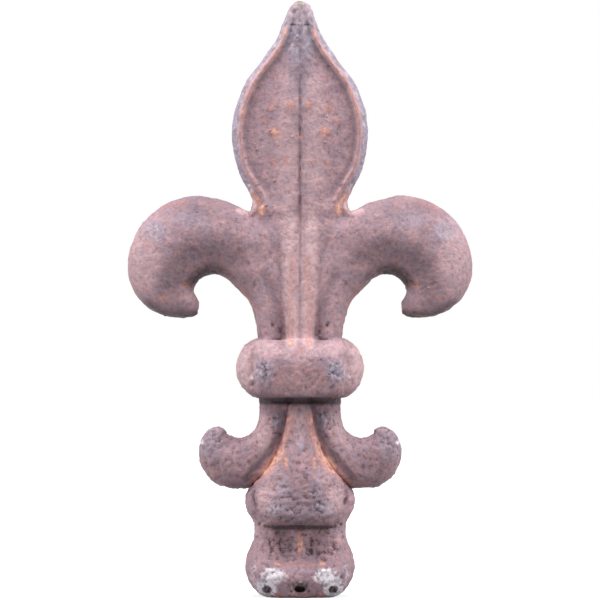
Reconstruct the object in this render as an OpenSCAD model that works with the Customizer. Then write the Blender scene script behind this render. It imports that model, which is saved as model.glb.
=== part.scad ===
// Cast iron fleur-de-lis finial for the head of a railing bar, in millimetres.
// +Z is up, X runs across the face, and the front looks along -Y. The origin is
// the centre of the socket's mouth, in the plane of the foot's underside.
//
// The casting is one piece with the same relief on both faces, parted on Y = 0.
// Its skin is drawn for one quarter, the right half of one face, as strips of
// rows. A row runs across a strip, and each of its points is [x, rise, z], where
// rise is the distance from the parting plane. Neighbouring strips share the row
// or the seam where they meet, so the four quarters close into one solid.

/* [Heights, from the underside up] */
// Height of the flared foot
foot_h = 16; // [13:0.5:20]
// Height of the neck above the foot
neck_h = 4; // [3:0.5:7]
// Height of the bell and of the ring behind it
bell_h = 10; // [8:0.5:13]
// Height of the lower stem, from the bell's ring to the collar
stem_h = 25; // [23:0.5:29]
// Height of the collar
collar_h = 16.5; // [14:0.5:20]
// Height of the bound petals, from the collar to the notches
bound_h = 35.5; // [33:0.5:40]
// Height of the blade, from the notches to the point
blade_h = 58; // [50:1:70]

/* [Blade] */
// Width of the blade at its widest
blade_w = 37.6; // [34:0.2:44]
// Thickness of the blade along its ridge, at its widest
blade_d = 10.4; // [9:0.2:13]
// Width of the blade between the notches
notch_w = 28.4; // [26:0.2:31]
// Distance from the outline in to the crest of the rim
rim_w = 2.3; // [1.6:0.1:3]
// Height of the rim's crest above the panel beside it
rim_h = 0.8; // [0.4:0.1:1.2]
// Width of the vein cut along the ridge
vein_w = 1.6; // [1.2:0.1:2.4]
// Depth of the vein
vein_depth = 0.4; // [0.2:0.1:0.8]

/* [Bound petals] */
// Width of the three bound petals where they enter the collar
root_w = 23.2; // [21.6:0.2:25]
// Thickness of the bound petals where they enter the collar
root_d = 14.4; // [12.8:0.2:16.4]
// Width of the middle petal where it enters the collar
midrib_w = 9.6; // [7.6:0.2:11.6]
// Depth of the grooves beside the middle petal at the collar
groove_depth = 2.6; // [1.4:0.1:3.2]

/* [Side petals] */
// Reach of a side petal from the centre
petal_reach = 47.7; // [45:0.5:53]
// Rise of a side petal's crown above the notch
petal_crown = 4; // [2.5:0.5:8]
// Height of a side petal, from its crown down to its hanging end
petal_h = 33.8; // [32.5:0.5:36]
// Thickness of a side petal at its fullest
petal_d = 14.4; // [12:0.4:18]
// Diameter of the eye that a side petal curls round
petal_eye_d = 11.2; // [9.6:0.2:12.4]
// Distance of the eye's centre from the middle
petal_eye_x = 24; // [23:0.5:25.5]
// Height of the eye's centre above the collar
petal_eye_h = 12.1; // [11.5:0.2:13.5]

/* [Collar] */
// Width of the collar
collar_w = 35.4; // [33:0.2:39]
// Thickness of the collar, from front to back
collar_d = 24; // [21:0.5:28]
// Width of the barrel across the middle of the collar
barrel_w = 25.6; // [24:0.2:28]

/* [Lower scrolls] */
// Width of the stem just below the collar
stem_w = 22.8; // [21:0.2:24.6]
// Thickness of the stem just below the collar
stem_d = 13.8; // [12:0.2:15.6]
// Reach of a scroll from the centre
scroll_reach = 28; // [26.5:0.5:32]
// Height of a scroll, from the notch below it to its tip
scroll_h = 17.1; // [16:0.5:20]
// Thickness of a scroll
scroll_d = 12; // [10:0.4:14.4]
// Diameter of the eye that a scroll curls round
scroll_eye_d = 11; // [9.6:0.2:12]
// Depth of the creases between the leaf and the scrolls
crease_depth = 1.4; // [0.8:0.1:2]

/* [Bell, neck and foot] */
// Width of the ring behind the bell
ring_w = 30.4; // [28.6:0.2:34]
// Thickness of the bell at its lip, from front to back
bell_d = 26.4; // [24:0.4:30]
// Width of the neck
neck_w = 25.4; // [23:0.2:27]
// Thickness of the neck
neck_d = 17.6; // [16.8:0.2:20]
// Width of the foot at its widest
foot_w = 30.4; // [28:0.2:36]
// Thickness of the foot, from front to back
foot_d = 25; // [22:0.5:30]
// Diameter of the flat that the foot stands on
flat_d = 18.8; // [17.6:0.2:20.4]
// Diameter of the two pits in the front of the foot
pit_d = 2.5; // [1.5:0.1:3]
// Distance between the centres of the two pits
pit_gap = 18; // [16.6:0.2:20]

/* [Socket] */
// Diameter of the socket for the head of the bar
socket_d = 13; // [10:0.5:13.5]
// Depth of the socket
socket_h = 20; // [12:1:26]

/* [Hidden] */

iron = "#7d6668";
$fn = 48;

z_neck = foot_h;
z_bell = z_neck + neck_h;
z_stem = z_bell + bell_h;
z_collar = z_stem + stem_h;
z_root = z_collar + collar_h;
z_notch = z_root + bound_h;
z_tip = z_notch + blade_h;

// Depth of the hollows on either side of the foot's middle ridge
hollow_depth = 1.1;
// Height of the pits above the underside
pit_z = 2.3;
// Half thickness of the edge that the blade keeps along its outline
edge = 1.1;
// Spans of a row across a middle strip and across an outer strip
mid_n = 8;
out_n = 10;
// Rows along a bound seam, and along the seam between the leaf and a scroll
bound_n = 12;
leaf_n = 9;

function mix(a, b, t) = a + (b - a) * t;
function clamp(t) = max(0, min(1, t));
function ease(a, b, t) = let (u = clamp((t - a) / (b - a))) u * u * (3 - 2 * u);
function tail(rows) = [for (i = [1:len(rows) - 1]) rows[i]];
function turned(rows) = [for (i = [len(rows) - 1:-1:0]) rows[i]];

// Point at s on the smooth curve through p[0], p[1] and so on, reached at s = 0, 1 ...
function through(p, s) =
    let (
        last = len(p) - 1,
        i = min(floor(s), last - 1),
        t = s - i,
        a = p[max(i - 1, 0)],
        b = p[i],
        c = p[i + 1],
        d = p[min(i + 2, last)]
    )
    b + 0.5 * t * ((c - a) + t * ((2 * a - 5 * b + 4 * c - d) + t * (3 * b - a - 3 * c + d)));

// Even samples of that curve, n spans long
function samples(p, n) = [for (i = [0:n]) i == n ? p[len(p) - 1] : through(p, i * (len(p) - 1) / n)];

// Arc about c with the radii r, from angle a to angle b, n spans long
function arc(c, r, a, b, n) =
    [for (i = [0:n]) let (t = mix(a, b, i / n)) [c[0] + r[0] * cos(t), c[1] + r[1] * sin(t)]];

// Blade and middle petal. Stations are [half width, ridge rise, z, rise at the side].
blade_x = blade_w / 2;
blade_r = blade_d / 2;
notch_x = notch_w / 2;
root_r = root_d / 2;
groove_r = root_r - groove_depth;

blade_shape = [
    [0, 0, 1], [0.1, 0.42, 0.984], [0.17, 0.54, 0.96], [0.25, 0.6, 0.89], [0.35, 0.66, 0.812],
    [0.56, 0.76, 0.714], [0.81, 0.88, 0.602], [0.96, 0.97, 0.475], [1, 1, 0.35], [0.93, 1, 0.21]
];
blade_rail = concat(
    [for (p = blade_shape) [p[0] * blade_x, p[1] * blade_r, z_notch + p[2] * blade_h, 0]],
    [
        [mix(blade_x, notch_x * 0.92, 0.66), blade_r, z_notch + blade_h * 0.115, 0],
        [notch_x * 0.92, blade_r, z_notch + blade_h * 0.04, 0],
        [notch_x, blade_r, z_notch, 0]
    ]
);
bound_rail = [
    [notch_x, blade_r, z_notch, 0],
    [notch_x * 0.8, blade_r, z_notch - bound_h * 0.11, blade_r * 0.86],
    [notch_x * 0.6, mix(blade_r, root_r, 0.15), z_notch - bound_h * 0.24, blade_r * 0.98],
    [midrib_w * 0.64, mix(blade_r, root_r, 0.35), z_notch - bound_h * 0.42, mix(blade_r, groove_r, 0.2)],
    [midrib_w * 0.54, mix(blade_r, root_r, 0.7), z_notch - bound_h * 0.7, mix(blade_r, groove_r, 0.7)],
    [midrib_w / 2, root_r, z_root, groove_r]
];
bound_seam = samples(bound_rail, bound_n);

// Points of one row of the blade or of the middle petal
function mid_row(s) =
    let (
        w = s[0],
        d = s[1],
        g = s[3],
        free = ease(z_notch - bound_h * 0.1, z_notch + blade_h * 0.22, s[2]),
        near = ease(z_notch - bound_h * 0.14, z_notch - bound_h * 0.02, s[2]),
        tip = ease(0, rim_w * 3.5, w),
        v = min(vein_w / 2, w * 0.2),
        rim = min(rim_w, w * 0.3),
        fold = max(w - rim * 1.9, w * 0.45),
        low = mix(d * 0.9, d * 0.58, tip),
        lip = min(edge, low * 0.6),
        x_free = [0, v, mix(v, fold, 0.36), mix(v, fold, 0.7), fold, w - rim, w - rim * 0.45, w - edge * 0.2 * tip, w],
        r_free = [d - vein_depth * tip, d, mix(low, d, 0.6), mix(low, d, 0.22), low, low + rim_h * tip, mix(low, lip, 0.5), lip],
        x_bound = [0, v, w * 0.3, w * 0.44, w * 0.58, w * 0.7, w * 0.82, mix(w * 0.93, w - edge * 0.3, near), w],
        fall = [1, 1, 0.96, 0.85, 0.62, 0.38, 0.17, 0.04],
        side = mix([g, g, g, g, g, g, g, g], d * [1, 1, 0.9, 0.8, 0.74, 0.7, 0.56, 0.32], near),
        r_bound = [for (i = [0:mid_n - 1]) mix(side[i], d, fall[i]) - (i == 0 ? vein_depth : 0)]
    )
    [
        for (i = [0:mid_n])
            [mix(x_bound[i], x_free[i], free), i == mid_n ? g : mix(r_bound[i], r_free[i], free), s[2]]
    ];

mid_rows = concat([for (s = samples(blade_rail, 28)) mid_row(s)], [for (s = tail(bound_seam)) mid_row(s)]);

// Side petal, from its nib round to the collar, between an outer and an inner side
crown = [petal_eye_x + 3.7, z_notch + petal_crown];
under = [petal_eye_x + 9.2, crown[1] - petal_h];
waist_z = under[1] + petal_h * 0.41;
eye = [petal_eye_x, z_root + petal_eye_h];
eye_r = petal_eye_d / 2;
nib_low = [petal_eye_x + 4.3, under[1] + 1.1];
nib_top = [petal_eye_x + 3.9, under[1] + 4.2];
arch = [eye[0] - eye_r * 0.72, eye[1] + eye_r * 0.76];

petal_outer = turned(concat(
    samples([[notch_x, z_notch], [mix(notch_x, crown[0], 0.48), mix(z_notch, crown[1], 0.62)], crown], 5),
    tail(arc([crown[0], waist_z], [petal_reach - crown[0], crown[1] - waist_z], 90, 0, 7)),
    tail(arc([under[0], waist_z], [petal_reach - under[0], waist_z - under[1]], 0, -90, 6)),
    tail(samples([under, [mix(under[0], nib_low[0], 0.6), under[1] + 0.2], nib_low], 4))
));
petal_inner = turned(concat(
    samples([arch, [eye[0] - eye_r * 0.3, eye[1] + eye_r * 0.97], [eye[0] + eye_r * 0.1, eye[1] + eye_r]], 5),
    tail(arc(eye, [eye_r, eye_r], 84, 24, 7)),
    tail(arc(eye, [eye_r, eye_r], 24, 8, 5)),
    tail(samples([eye + eye_r * [cos(8), sin(8)], nib_top + [0.9, 1.3], nib_top], 5))
));
bound_inner = samples([
    arch,
    [root_w / 2 + 2.9, z_root + petal_eye_h * 0.87],
    [root_w / 2 + 0.8, z_root + petal_eye_h * 0.42],
    [root_w / 2, z_root]
], bound_n);
petal_r = samples([0, 0.66, 0.88, 0.97, 1, 1, 0.97, 0.93], 22) * petal_d / 2;
bound_r = samples([petal_d * 0.465, petal_d * 0.44, root_r * 0.9], bound_n);

// Points of one row between the side p, with the rise g, and the side q, crest rise h
function out_row(p, g, q, h) =
    [
        for (i = [0:out_n])
            let (
                a = 180 * i / out_n,
                t = (1 - cos(a)) / 2,
                k = i == out_n ? 0 : sin(a),
                b = i * 2 < out_n ? mix(g, h, pow(k, mix(0.8, 1.5, clamp(g / h)))) : h * pow(k, 0.8)
            )
            [mix(p[0], q[0], t), h == 0 ? 0 : b, mix(p[1], q[1], t)]
    ];

petal_rows = concat(
    [for (i = [0:22]) out_row(petal_outer[i], 0, petal_inner[i], petal_r[i])],
    [
        for (i = [1:bound_n])
            let (s = bound_seam[i])
            out_row([s[0], s[2]], s[3], bound_inner[i], bound_r[i])
    ]
);

// Leaf on the stem. Stations are [half width, ridge rise, z, rise at the side, leaf edge, its rise].
stem_r = stem_d / 2;
bell_r = bell_d / 2;
ring_x = ring_w / 2;
neck_x = neck_w / 2;
neck_r = neck_d / 2;
foot_x = foot_w / 2;
foot_r = foot_d / 2;
flat_r = flat_d / 2;
fork = [ring_x - 1.1, z_stem];
crease_r = stem_r - crease_depth;

leaf_seam = samples([
    [2.8, stem_r, z_collar, crease_r, 2.5, stem_r * 0.9],
    [3.5, stem_r * 1.02, z_collar - stem_h * 0.16, crease_r, 3.2, stem_r * 0.9],
    [4.9, stem_r * 1.12, z_collar - stem_h * 0.43, crease_r, 4.5, stem_r * 0.92],
    [7.4, mix(stem_r, bell_r, 0.4), z_collar - stem_h * 0.68, crease_r, 6.9, stem_r * 0.98],
    [11, mix(stem_r, bell_r, 0.64), z_collar - stem_h * 0.87, crease_r * 0.9, 10.4, stem_r],
    [fork[0], mix(stem_r, bell_r, 0.8), z_stem, 0, fork[0] - 0.7, stem_r * 0.5]
], leaf_n);
bell_rail = [
    leaf_seam[leaf_n],
    [ring_x - 0.3, mix(stem_r, bell_r, 0.87), z_bell + bell_h * 0.86, 0, ring_x - 2.4, stem_r * 0.82],
    [ring_x, bell_r * 0.97, z_bell + bell_h * 0.66, 0, ring_x - 2.8, stem_r * 0.9],
    [ring_x - 0.5, bell_r, z_bell + bell_h * 0.38, 0, ring_x - 3.6, stem_r * 0.94],
    [mix(neck_x, ring_x, 0.3), bell_r * 0.98, z_bell + bell_h * 0.18, 0, neck_x - 2.6, stem_r],
    [neck_x, bell_r * 0.9, z_bell + bell_h * 0.03, 0, neck_x - 3.4, stem_r * 1.02],
    [neck_x, mix(neck_r, bell_r, 0.4), z_bell - neck_h * 0.03, 0, neck_x - 3.7, neck_r * 0.84]
];
foot_rail = [
    [neck_x, neck_r, z_bell - neck_h * 0.1, 0, neck_x - 3.8, neck_r * 0.84],
    [neck_x, neck_r * 0.98, z_bell - neck_h * 0.6, 0, neck_x - 3.6, neck_r * 0.84],
    [mix(neck_x, foot_x, 0.15), neck_r * 1.02, foot_h * 0.96, 0, neck_x - 3.4, neck_r * 0.86],
    [mix(neck_x, foot_x, 0.72), mix(neck_r, foot_r, 0.14), foot_h * 0.77, 0, neck_x - 3, neck_r * 0.92],
    [mix(neck_x, foot_x, 0.94), mix(neck_r, foot_r, 0.42), foot_h * 0.62, 0, neck_x - 2.4, mix(neck_r, foot_r, 0.2)],
    [foot_x, foot_r * 0.97, foot_h * 0.5, 0, neck_x - 2, foot_r * 0.86],
    [mix(foot_x, flat_r, 0.12), foot_r, foot_h * 0.32, 0, neck_x - 2.4, foot_r * 0.86],
    [mix(foot_x, flat_r, 0.42), mix(foot_r, flat_r, 0.3), foot_h * 0.15, 0, flat_r * 0.92, foot_r * 0.76],
    [mix(foot_x, flat_r, 0.66), mix(foot_r, flat_r, 0.62), foot_h * 0.06, 0, flat_r * 0.82, flat_r * 0.84],
    [flat_r, flat_r, 0, 0, flat_r * 0.72, flat_r * 0.7]
];

// Depth at height z of the two hollows on the front of the foot and the neck
function hollow(z) = hollow_depth * ease(foot_h * 0.56, foot_h * 0.8, z) * (1 - ease(z_bell - 2.4, z_bell, z));

// Points of one row of the leaf, bell, neck or foot
function low_row(s) =
    let (
        leaf = ease(z_stem - bell_h * 0.3, z_stem + stem_h * 0.4, s[2]),
        x = [0, s[4] * 0.2, s[4] * 0.4, s[4] * 0.64, s[4] * 0.86, s[4], mix(s[4], s[0], 0.4), mix(s[4], s[0], 0.8), s[0]],
        full = mix([1, 0.98, 0.9, 0.72, 0.42, 0], [1, 1, 0.99, 0.97, 0.8, 0], leaf),
        side = mix([0.94, 0.62, 0], [0.5, 0.1, 0], leaf),
        dip = [0, 0.45, 1, 0.5, 0, 0]
    )
    [
        for (i = [0:mid_n])
            [x[i], i < 6 ? mix(s[5], s[1], full[i]) - dip[i] * hollow(s[2]) : mix(s[3], s[5], side[i - 6]), s[2]]
    ];

low_rows = concat(
    [for (s = leaf_seam) low_row(s)],
    [for (s = tail(samples(bell_rail, 11))) low_row(s)],
    [for (s = samples(foot_rail, 12)) low_row(s)]
);

// Lower scroll, from the collar round to its tip
scroll_eye = [17 * scroll_reach / 28, z_stem + scroll_h + 2.3];
scroll_eye_r = scroll_eye_d / 2;
scroll_tip = [scroll_eye[0] + scroll_eye_r, z_stem + scroll_h];
belly = [scroll_reach * 0.655, z_stem + scroll_h * 0.57];

leaf_side = samples([
    [stem_w / 2, z_collar],
    [stem_w / 2 - 0.3, mix(z_collar, scroll_eye[1], 0.6)],
    [scroll_eye[0] - scroll_eye_r * 0.94, scroll_eye[1] - scroll_eye_r * 0.35],
    [scroll_eye[0] - scroll_eye_r * 0.62, scroll_eye[1] - scroll_eye_r * 0.79],
    [scroll_eye[0] - scroll_eye_r * 0.1, scroll_eye[1] - scroll_eye_r]
], leaf_n);
scroll_outer = concat(
    samples([fork, [mix(fork[0], belly[0], 0.6), z_stem]], 2),
    tail(arc([belly[0], belly[1]], [scroll_reach - belly[0], belly[1] - z_stem], -90, 0, 7)),
    tail(arc([scroll_tip[0], belly[1]], [scroll_reach - scroll_tip[0], scroll_tip[1] - belly[1]], 0, 72, 4)),
    [scroll_tip]
);
scroll_inner = concat(
    arc(scroll_eye, [scroll_eye_r, scroll_eye_r], 264, 276, 2),
    tail(arc(scroll_eye, [scroll_eye_r, scroll_eye_r], 276, 308, 7)),
    tail(samples([scroll_eye + scroll_eye_r * [cos(308), sin(308)], scroll_tip + [-1.6, -0.9], scroll_tip], 5))
);
scroll_r = samples([0.94, 1, 1, 0.98, 0.9, 0.68, 0], 14) * scroll_d / 2;
stem_crest = samples([stem_r * 0.92, stem_r * 0.92, scroll_d * 0.47], leaf_n);

scroll_rows = concat(
    [
        for (i = [0:leaf_n])
            let (s = leaf_seam[i])
            out_row([s[0], s[2]], s[3], leaf_side[i], stem_crest[i])
    ],
    [for (i = [1:14]) out_row(scroll_outer[i], 0, scroll_inner[i], scroll_r[i])]
);

// Collar, between the last row above it and the first row below it
collar_n = 11;
collar_top = concat(mid_rows[len(mid_rows) - 1], tail(petal_rows[len(petal_rows) - 1]));
collar_end = concat(low_rows[0], tail(scroll_rows[0]));
collar_x = collar_w / 2;
collar_r = collar_d / 2;

barrel_x = barrel_w / 2;
barrel_i = 13;

// Point i across the collar where its half width is w: a barrel, then a lobe at its end
function collar_point(i, w) =
    i <= barrel_i
        ? let (a = sin(90 * i / barrel_i))
            [a * barrel_x, mix(collar_r * 0.6, collar_r, pow(max(0, 1 - pow(a, 6)), 0.5))]
        : let (a = 90 * (i - barrel_i) / (mid_n + out_n - barrel_i))
            [mix(barrel_x, w, sin(a)), collar_r * 0.6 * cos(a)];

collar_rows = [
    for (j = [0:collar_n])
        let (
            v = j / collar_n,
            swell = pow(sin(180 * v), 1.3),
            roll = pow(sin(180 * v), v < 0.5 ? 1.1 : 0.45),
            side = mix(collar_top[mid_n + out_n][0], collar_end[mid_n + out_n][0], v),
            w = mix(side, collar_x, swell)
        )
        j == 0 ? collar_top : j == collar_n ? collar_end : [
            for (i = [0:mid_n + out_n])
                let (
                    p = mix(collar_top[i], collar_end[i], v),
                    q = collar_point(i, w),
                    x = mix(p[0] * w / side, q[0], pow(swell, 0.5))
                )
                [x, i == mid_n + out_n ? 0 : mix(p[1], q[1], roll), mix(z_root, z_collar, (1 - cos(180 * v)) / 2)]
        ]
];

// Triangles between the rows of a strip, as corner points, without collapsed ones. The diagonals
// turn at the middle of a row, so that no triangle lies wholly in the parting plane.
function split(rows) =
    [
        for (j = [1:len(rows) - 1], i = [1:len(rows[0]) - 1])
            let (
                a = rows[j - 1][i - 1],
                b = rows[j - 1][i],
                c = rows[j][i],
                d = rows[j][i - 1],
                pair = i * 2 > len(rows[0]) ? [[a, b, d], [b, c, d]] : [[a, b, c], [a, c, d]]
            )
            each [for (t = pair) if (t[0] != t[1] && t[1] != t[2] && t[2] != t[0]) t]
    ];

sole = low_rows[len(low_rows) - 1];
quarter = concat(
    split(mid_rows), split(petal_rows), split(collar_rows), split(low_rows), split(scroll_rows),
    [for (i = [1:mid_n]) [[0, 0, 0], sole[i - 1], sole[i]]]
);

// The four quarters as one closed skin
module skin() {
    points = [
        for (sx = [1, -1], sy = [-1, 1], t = quarter)
            each [for (k = sx * sy < 0 ? [0, 1, 2] : [0, 2, 1]) [sx * t[k][0] + 0, sy * t[k][1] + 0, t[k][2]]]
    ];
    polyhedron(points, [for (i = [0:3:len(points) - 3]) [i, i + 1, i + 2]], convexity = 8);
}

// Blind pit in the front of the foot, as deep as the distance y from the parting plane
module pit(x, y, d) {
    translate([x, -y, pit_z]) rotate([90, 0, 0]) cylinder(r = d / 2, h = foot_d);
}

module finial() {
    color(iron)
    difference() {
        skin();
        translate([0, 0, -1]) cylinder(r = socket_d / 2, h = socket_h + 1);
        for (side = [-1, 1]) pit(side * pit_gap / 2, flat_r - 2.4, pit_d);
        pit(0, flat_r - 0.2, pit_d * 0.9);
    }
}

finial();
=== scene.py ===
"""Looks of a cast iron fleur-de-lis finial for the head of a railing bar.

The casting is one piece. Its surface is drawn in millimetres for one quarter, the right
half of one face, as strips of rows whose points are (x, rise, z), where rise is the
distance from the parting plane. The quarters are joined into a closed cage of quads,
smoothed, roughened by a Geometry Nodes tree, and given a weathered iron finish with painted
shade and painted highlight.
"""

import logging
import math
from dataclasses import dataclass, field
from enum import Enum
from typing import Any, Sequence

import bmesh
import bpy
import numpy as np
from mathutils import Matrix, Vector


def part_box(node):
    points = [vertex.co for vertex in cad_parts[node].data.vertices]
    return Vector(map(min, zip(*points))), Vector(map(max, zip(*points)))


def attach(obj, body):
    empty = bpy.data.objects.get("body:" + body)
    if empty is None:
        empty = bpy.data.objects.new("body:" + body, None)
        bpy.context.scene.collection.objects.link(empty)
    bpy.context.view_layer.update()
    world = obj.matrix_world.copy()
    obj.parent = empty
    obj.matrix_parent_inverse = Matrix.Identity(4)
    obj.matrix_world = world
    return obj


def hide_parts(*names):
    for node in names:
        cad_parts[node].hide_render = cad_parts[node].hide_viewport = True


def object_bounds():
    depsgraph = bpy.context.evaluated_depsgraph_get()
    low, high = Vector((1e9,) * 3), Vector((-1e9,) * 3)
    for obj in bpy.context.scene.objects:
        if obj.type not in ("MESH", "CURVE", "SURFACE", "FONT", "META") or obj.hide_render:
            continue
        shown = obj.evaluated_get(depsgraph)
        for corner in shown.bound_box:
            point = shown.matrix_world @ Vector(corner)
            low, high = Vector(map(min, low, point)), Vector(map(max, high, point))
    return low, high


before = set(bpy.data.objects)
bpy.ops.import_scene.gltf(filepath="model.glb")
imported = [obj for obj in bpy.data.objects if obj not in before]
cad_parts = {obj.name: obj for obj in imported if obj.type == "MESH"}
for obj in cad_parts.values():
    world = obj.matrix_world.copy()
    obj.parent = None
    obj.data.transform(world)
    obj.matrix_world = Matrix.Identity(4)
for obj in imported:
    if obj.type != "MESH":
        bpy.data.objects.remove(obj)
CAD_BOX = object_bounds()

logging.basicConfig(level=logging.INFO, format="%(name)s: %(message)s")
LOG = logging.getLogger("finial")

MM = 0.001
NODE = "finial"
BODY = "root"

Rows = np.ndarray


# Curves
def mix(a: Any, b: Any, t: Any) -> Any:
    """Value between a and b at t."""
    return a + (b - a) * t


def ease(a: float, b: float, t: Any) -> Any:
    """Smooth step from 0 at a to 1 at b."""
    u = np.clip((np.asarray(t, float) - a) / (b - a), 0.0, 1.0)
    return u * u * (3.0 - 2.0 * u)


def through(points: np.ndarray, s: float) -> np.ndarray:
    """Point at s on the smooth curve through the given points.

    Args:
        points: Stations, reached at s = 0, 1 and so on.
        s: Place along the curve.

    Returns:
        The interpolated station.
    """
    last = len(points) - 1
    i = min(int(math.floor(s)), last - 1)
    t = s - i
    a, b = points[max(i - 1, 0)], points[i]
    c, d = points[i + 1], points[min(i + 2, last)]
    return b + 0.5 * t * ((c - a) + t * ((2 * a - 5 * b + 4 * c - d) + t * (3 * b - a - 3 * c + d)))


def samples(points: Sequence[Sequence[float]], spans: int) -> np.ndarray:
    """Even samples along the curve through the points.

    Args:
        points: Stations of the curve.
        spans: Number of spans between the samples.

    Returns:
        Array of spans + 1 stations.
    """
    p = np.asarray(points, float)
    return np.array([p[-1] if i == spans else through(p, i * (len(p) - 1) / spans) for i in range(spans + 1)])


def arc(
    centre: Sequence[float], radii: Sequence[float], start: float, end: float, spans: int
) -> np.ndarray:
    """Samples of an elliptical arc in degrees from start to end."""
    a = np.radians(np.linspace(start, end, spans + 1))
    return np.stack([centre[0] + radii[0] * np.cos(a), centre[1] + radii[1] * np.sin(a)], axis=1)


# Sizes of the casting
@dataclass(frozen=True)
class Heights:
    """Heights of the casting's parts in mm, from the underside up."""

    foot: float = 16.0
    neck: float = 4.0
    bell: float = 10.0
    stem: float = 25.0
    collar: float = 16.5
    bound: float = 35.5
    blade: float = 58.0

    @property
    def z_bell(self) -> float:
        """Underside of the bell."""
        return self.foot + self.neck

    @property
    def z_stem(self) -> float:
        """Notch between the bell's ring and the scrolls."""
        return self.z_bell + self.bell

    @property
    def z_collar(self) -> float:
        """Underside of the collar."""
        return self.z_stem + self.stem

    @property
    def z_root(self) -> float:
        """Top of the collar, where the petals spring from it."""
        return self.z_collar + self.collar

    @property
    def z_notch(self) -> float:
        """Notch between the blade and the side petals."""
        return self.z_root + self.bound


@dataclass
class Blade:
    """Leaf-shaped blade with a raised rim, and the middle petal below it."""

    width: float = 37.6
    depth: float = 10.4
    notch_w: float = 28.4
    rim_w: float = 2.3
    rim_h: float = 0.8
    vein_w: float = 1.6
    vein_depth: float = 0.4
    edge: float = 1.1
    root_d: float = 14.4
    midrib_w: float = 9.6
    groove_depth: float = 2.6

    # Half width, ridge rise and height of each station, as shares of the blade's own sizes
    shape: tuple[tuple[float, float, float], ...] = (
        (0, 0, 1), (0.1, 0.42, 0.984), (0.17, 0.54, 0.96), (0.25, 0.6, 0.89), (0.35, 0.66, 0.812),
        (0.56, 0.76, 0.714), (0.81, 0.88, 0.602), (0.96, 0.97, 0.475), (1, 1, 0.35), (0.93, 1, 0.21),
    )

    def rail(self, h: Heights) -> np.ndarray:
        """Stations of the blade, from the point down to the notch.

        Args:
            h: Heights of the casting.

        Returns:
            Array of (half width, ridge rise, z, rise at the side).
        """
        bx, br, nx = self.width / 2, self.depth / 2, self.notch_w / 2
        top = [(p[0] * bx, p[1] * br, h.z_notch + p[2] * h.blade, 0) for p in self.shape]
        low = [
            (mix(bx, nx * 0.92, 0.66), br, h.z_notch + h.blade * 0.115, 0),
            (nx * 0.92, br, h.z_notch + h.blade * 0.04, 0),
            (nx, br, h.z_notch, 0),
        ]
        return np.array(top + low)

    def seam(self, h: Heights, spans: int) -> np.ndarray:
        """Stations along the groove between the middle petal and a side petal.

        Args:
            h: Heights of the casting.
            spans: Spans along the groove.

        Returns:
            Array of (half width, ridge rise, z, rise in the groove).
        """
        br, rr = self.depth / 2, self.root_d / 2
        gr = rr - self.groove_depth
        nx, z, b = self.notch_w / 2, h.z_notch, h.bound
        return samples(
            [
                (nx, br, z, 0),
                (nx * 0.8, br, z - b * 0.11, br * 0.86),
                (nx * 0.6, mix(br, rr, 0.15), z - b * 0.24, br * 0.98),
                (self.midrib_w * 0.64, mix(br, rr, 0.35), z - b * 0.42, mix(br, gr, 0.2)),
                (self.midrib_w * 0.54, mix(br, rr, 0.7), z - b * 0.7, mix(br, gr, 0.7)),
                (self.midrib_w / 2, rr, h.z_root, gr),
            ],
            spans,
        )

    def row(self, s: np.ndarray, h: Heights) -> np.ndarray:
        """Points across the blade or the middle petal at one station.

        Args:
            s: Station as (half width, ridge rise, z, rise at the side).
            h: Heights of the casting.

        Returns:
            Array of (x, rise, z).
        """
        w, d, z, g = s
        free = float(ease(h.z_notch - h.bound * 0.1, h.z_notch + h.blade * 0.22, z))
        near = float(ease(h.z_notch - h.bound * 0.14, h.z_notch - h.bound * 0.02, z))
        tip = float(ease(0, self.rim_w * 5, w))
        v, rim = min(self.vein_w / 2, w * 0.2), min(self.rim_w, w * 0.3)
        fold = max(w - rim * 1.9, w * 0.45)
        low = mix(d * 0.9, d * 0.58, tip)
        lip = min(self.edge, low * 0.6)
        panel = [0, v, mix(v, fold, 0.36), mix(v, fold, 0.7), fold]
        x_free = np.array(panel + [w - rim, w - rim * 0.45, w - self.edge * 0.2 * tip, w])
        panel = [d - self.vein_depth * tip, d, mix(low, d, 0.6), mix(low, d, 0.22), low]
        r_free = np.array(panel + [low + self.rim_h * tip, mix(low, lip, 0.5), lip, g])
        inner = w * np.array([0.3, 0.44, 0.58, 0.7, 0.82])
        x_bound = np.array([0, v, *inner, mix(w * 0.93, w - self.edge * 0.3, near), w])
        fall = np.array([1, 1, 0.96, 0.85, 0.62, 0.38, 0.17, 0.04, 0])
        side = mix(g, d * np.array([1, 1, 0.9, 0.8, 0.74, 0.7, 0.56, 0.32, 0]), near)
        r_bound = mix(side, d, fall)
        r_bound[0] -= self.vein_depth
        x, r = mix(x_bound, x_free, free), mix(r_bound, r_free, free)
        r[-1] = g
        return np.stack([x, r, np.full(9, z)], axis=1)


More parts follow.
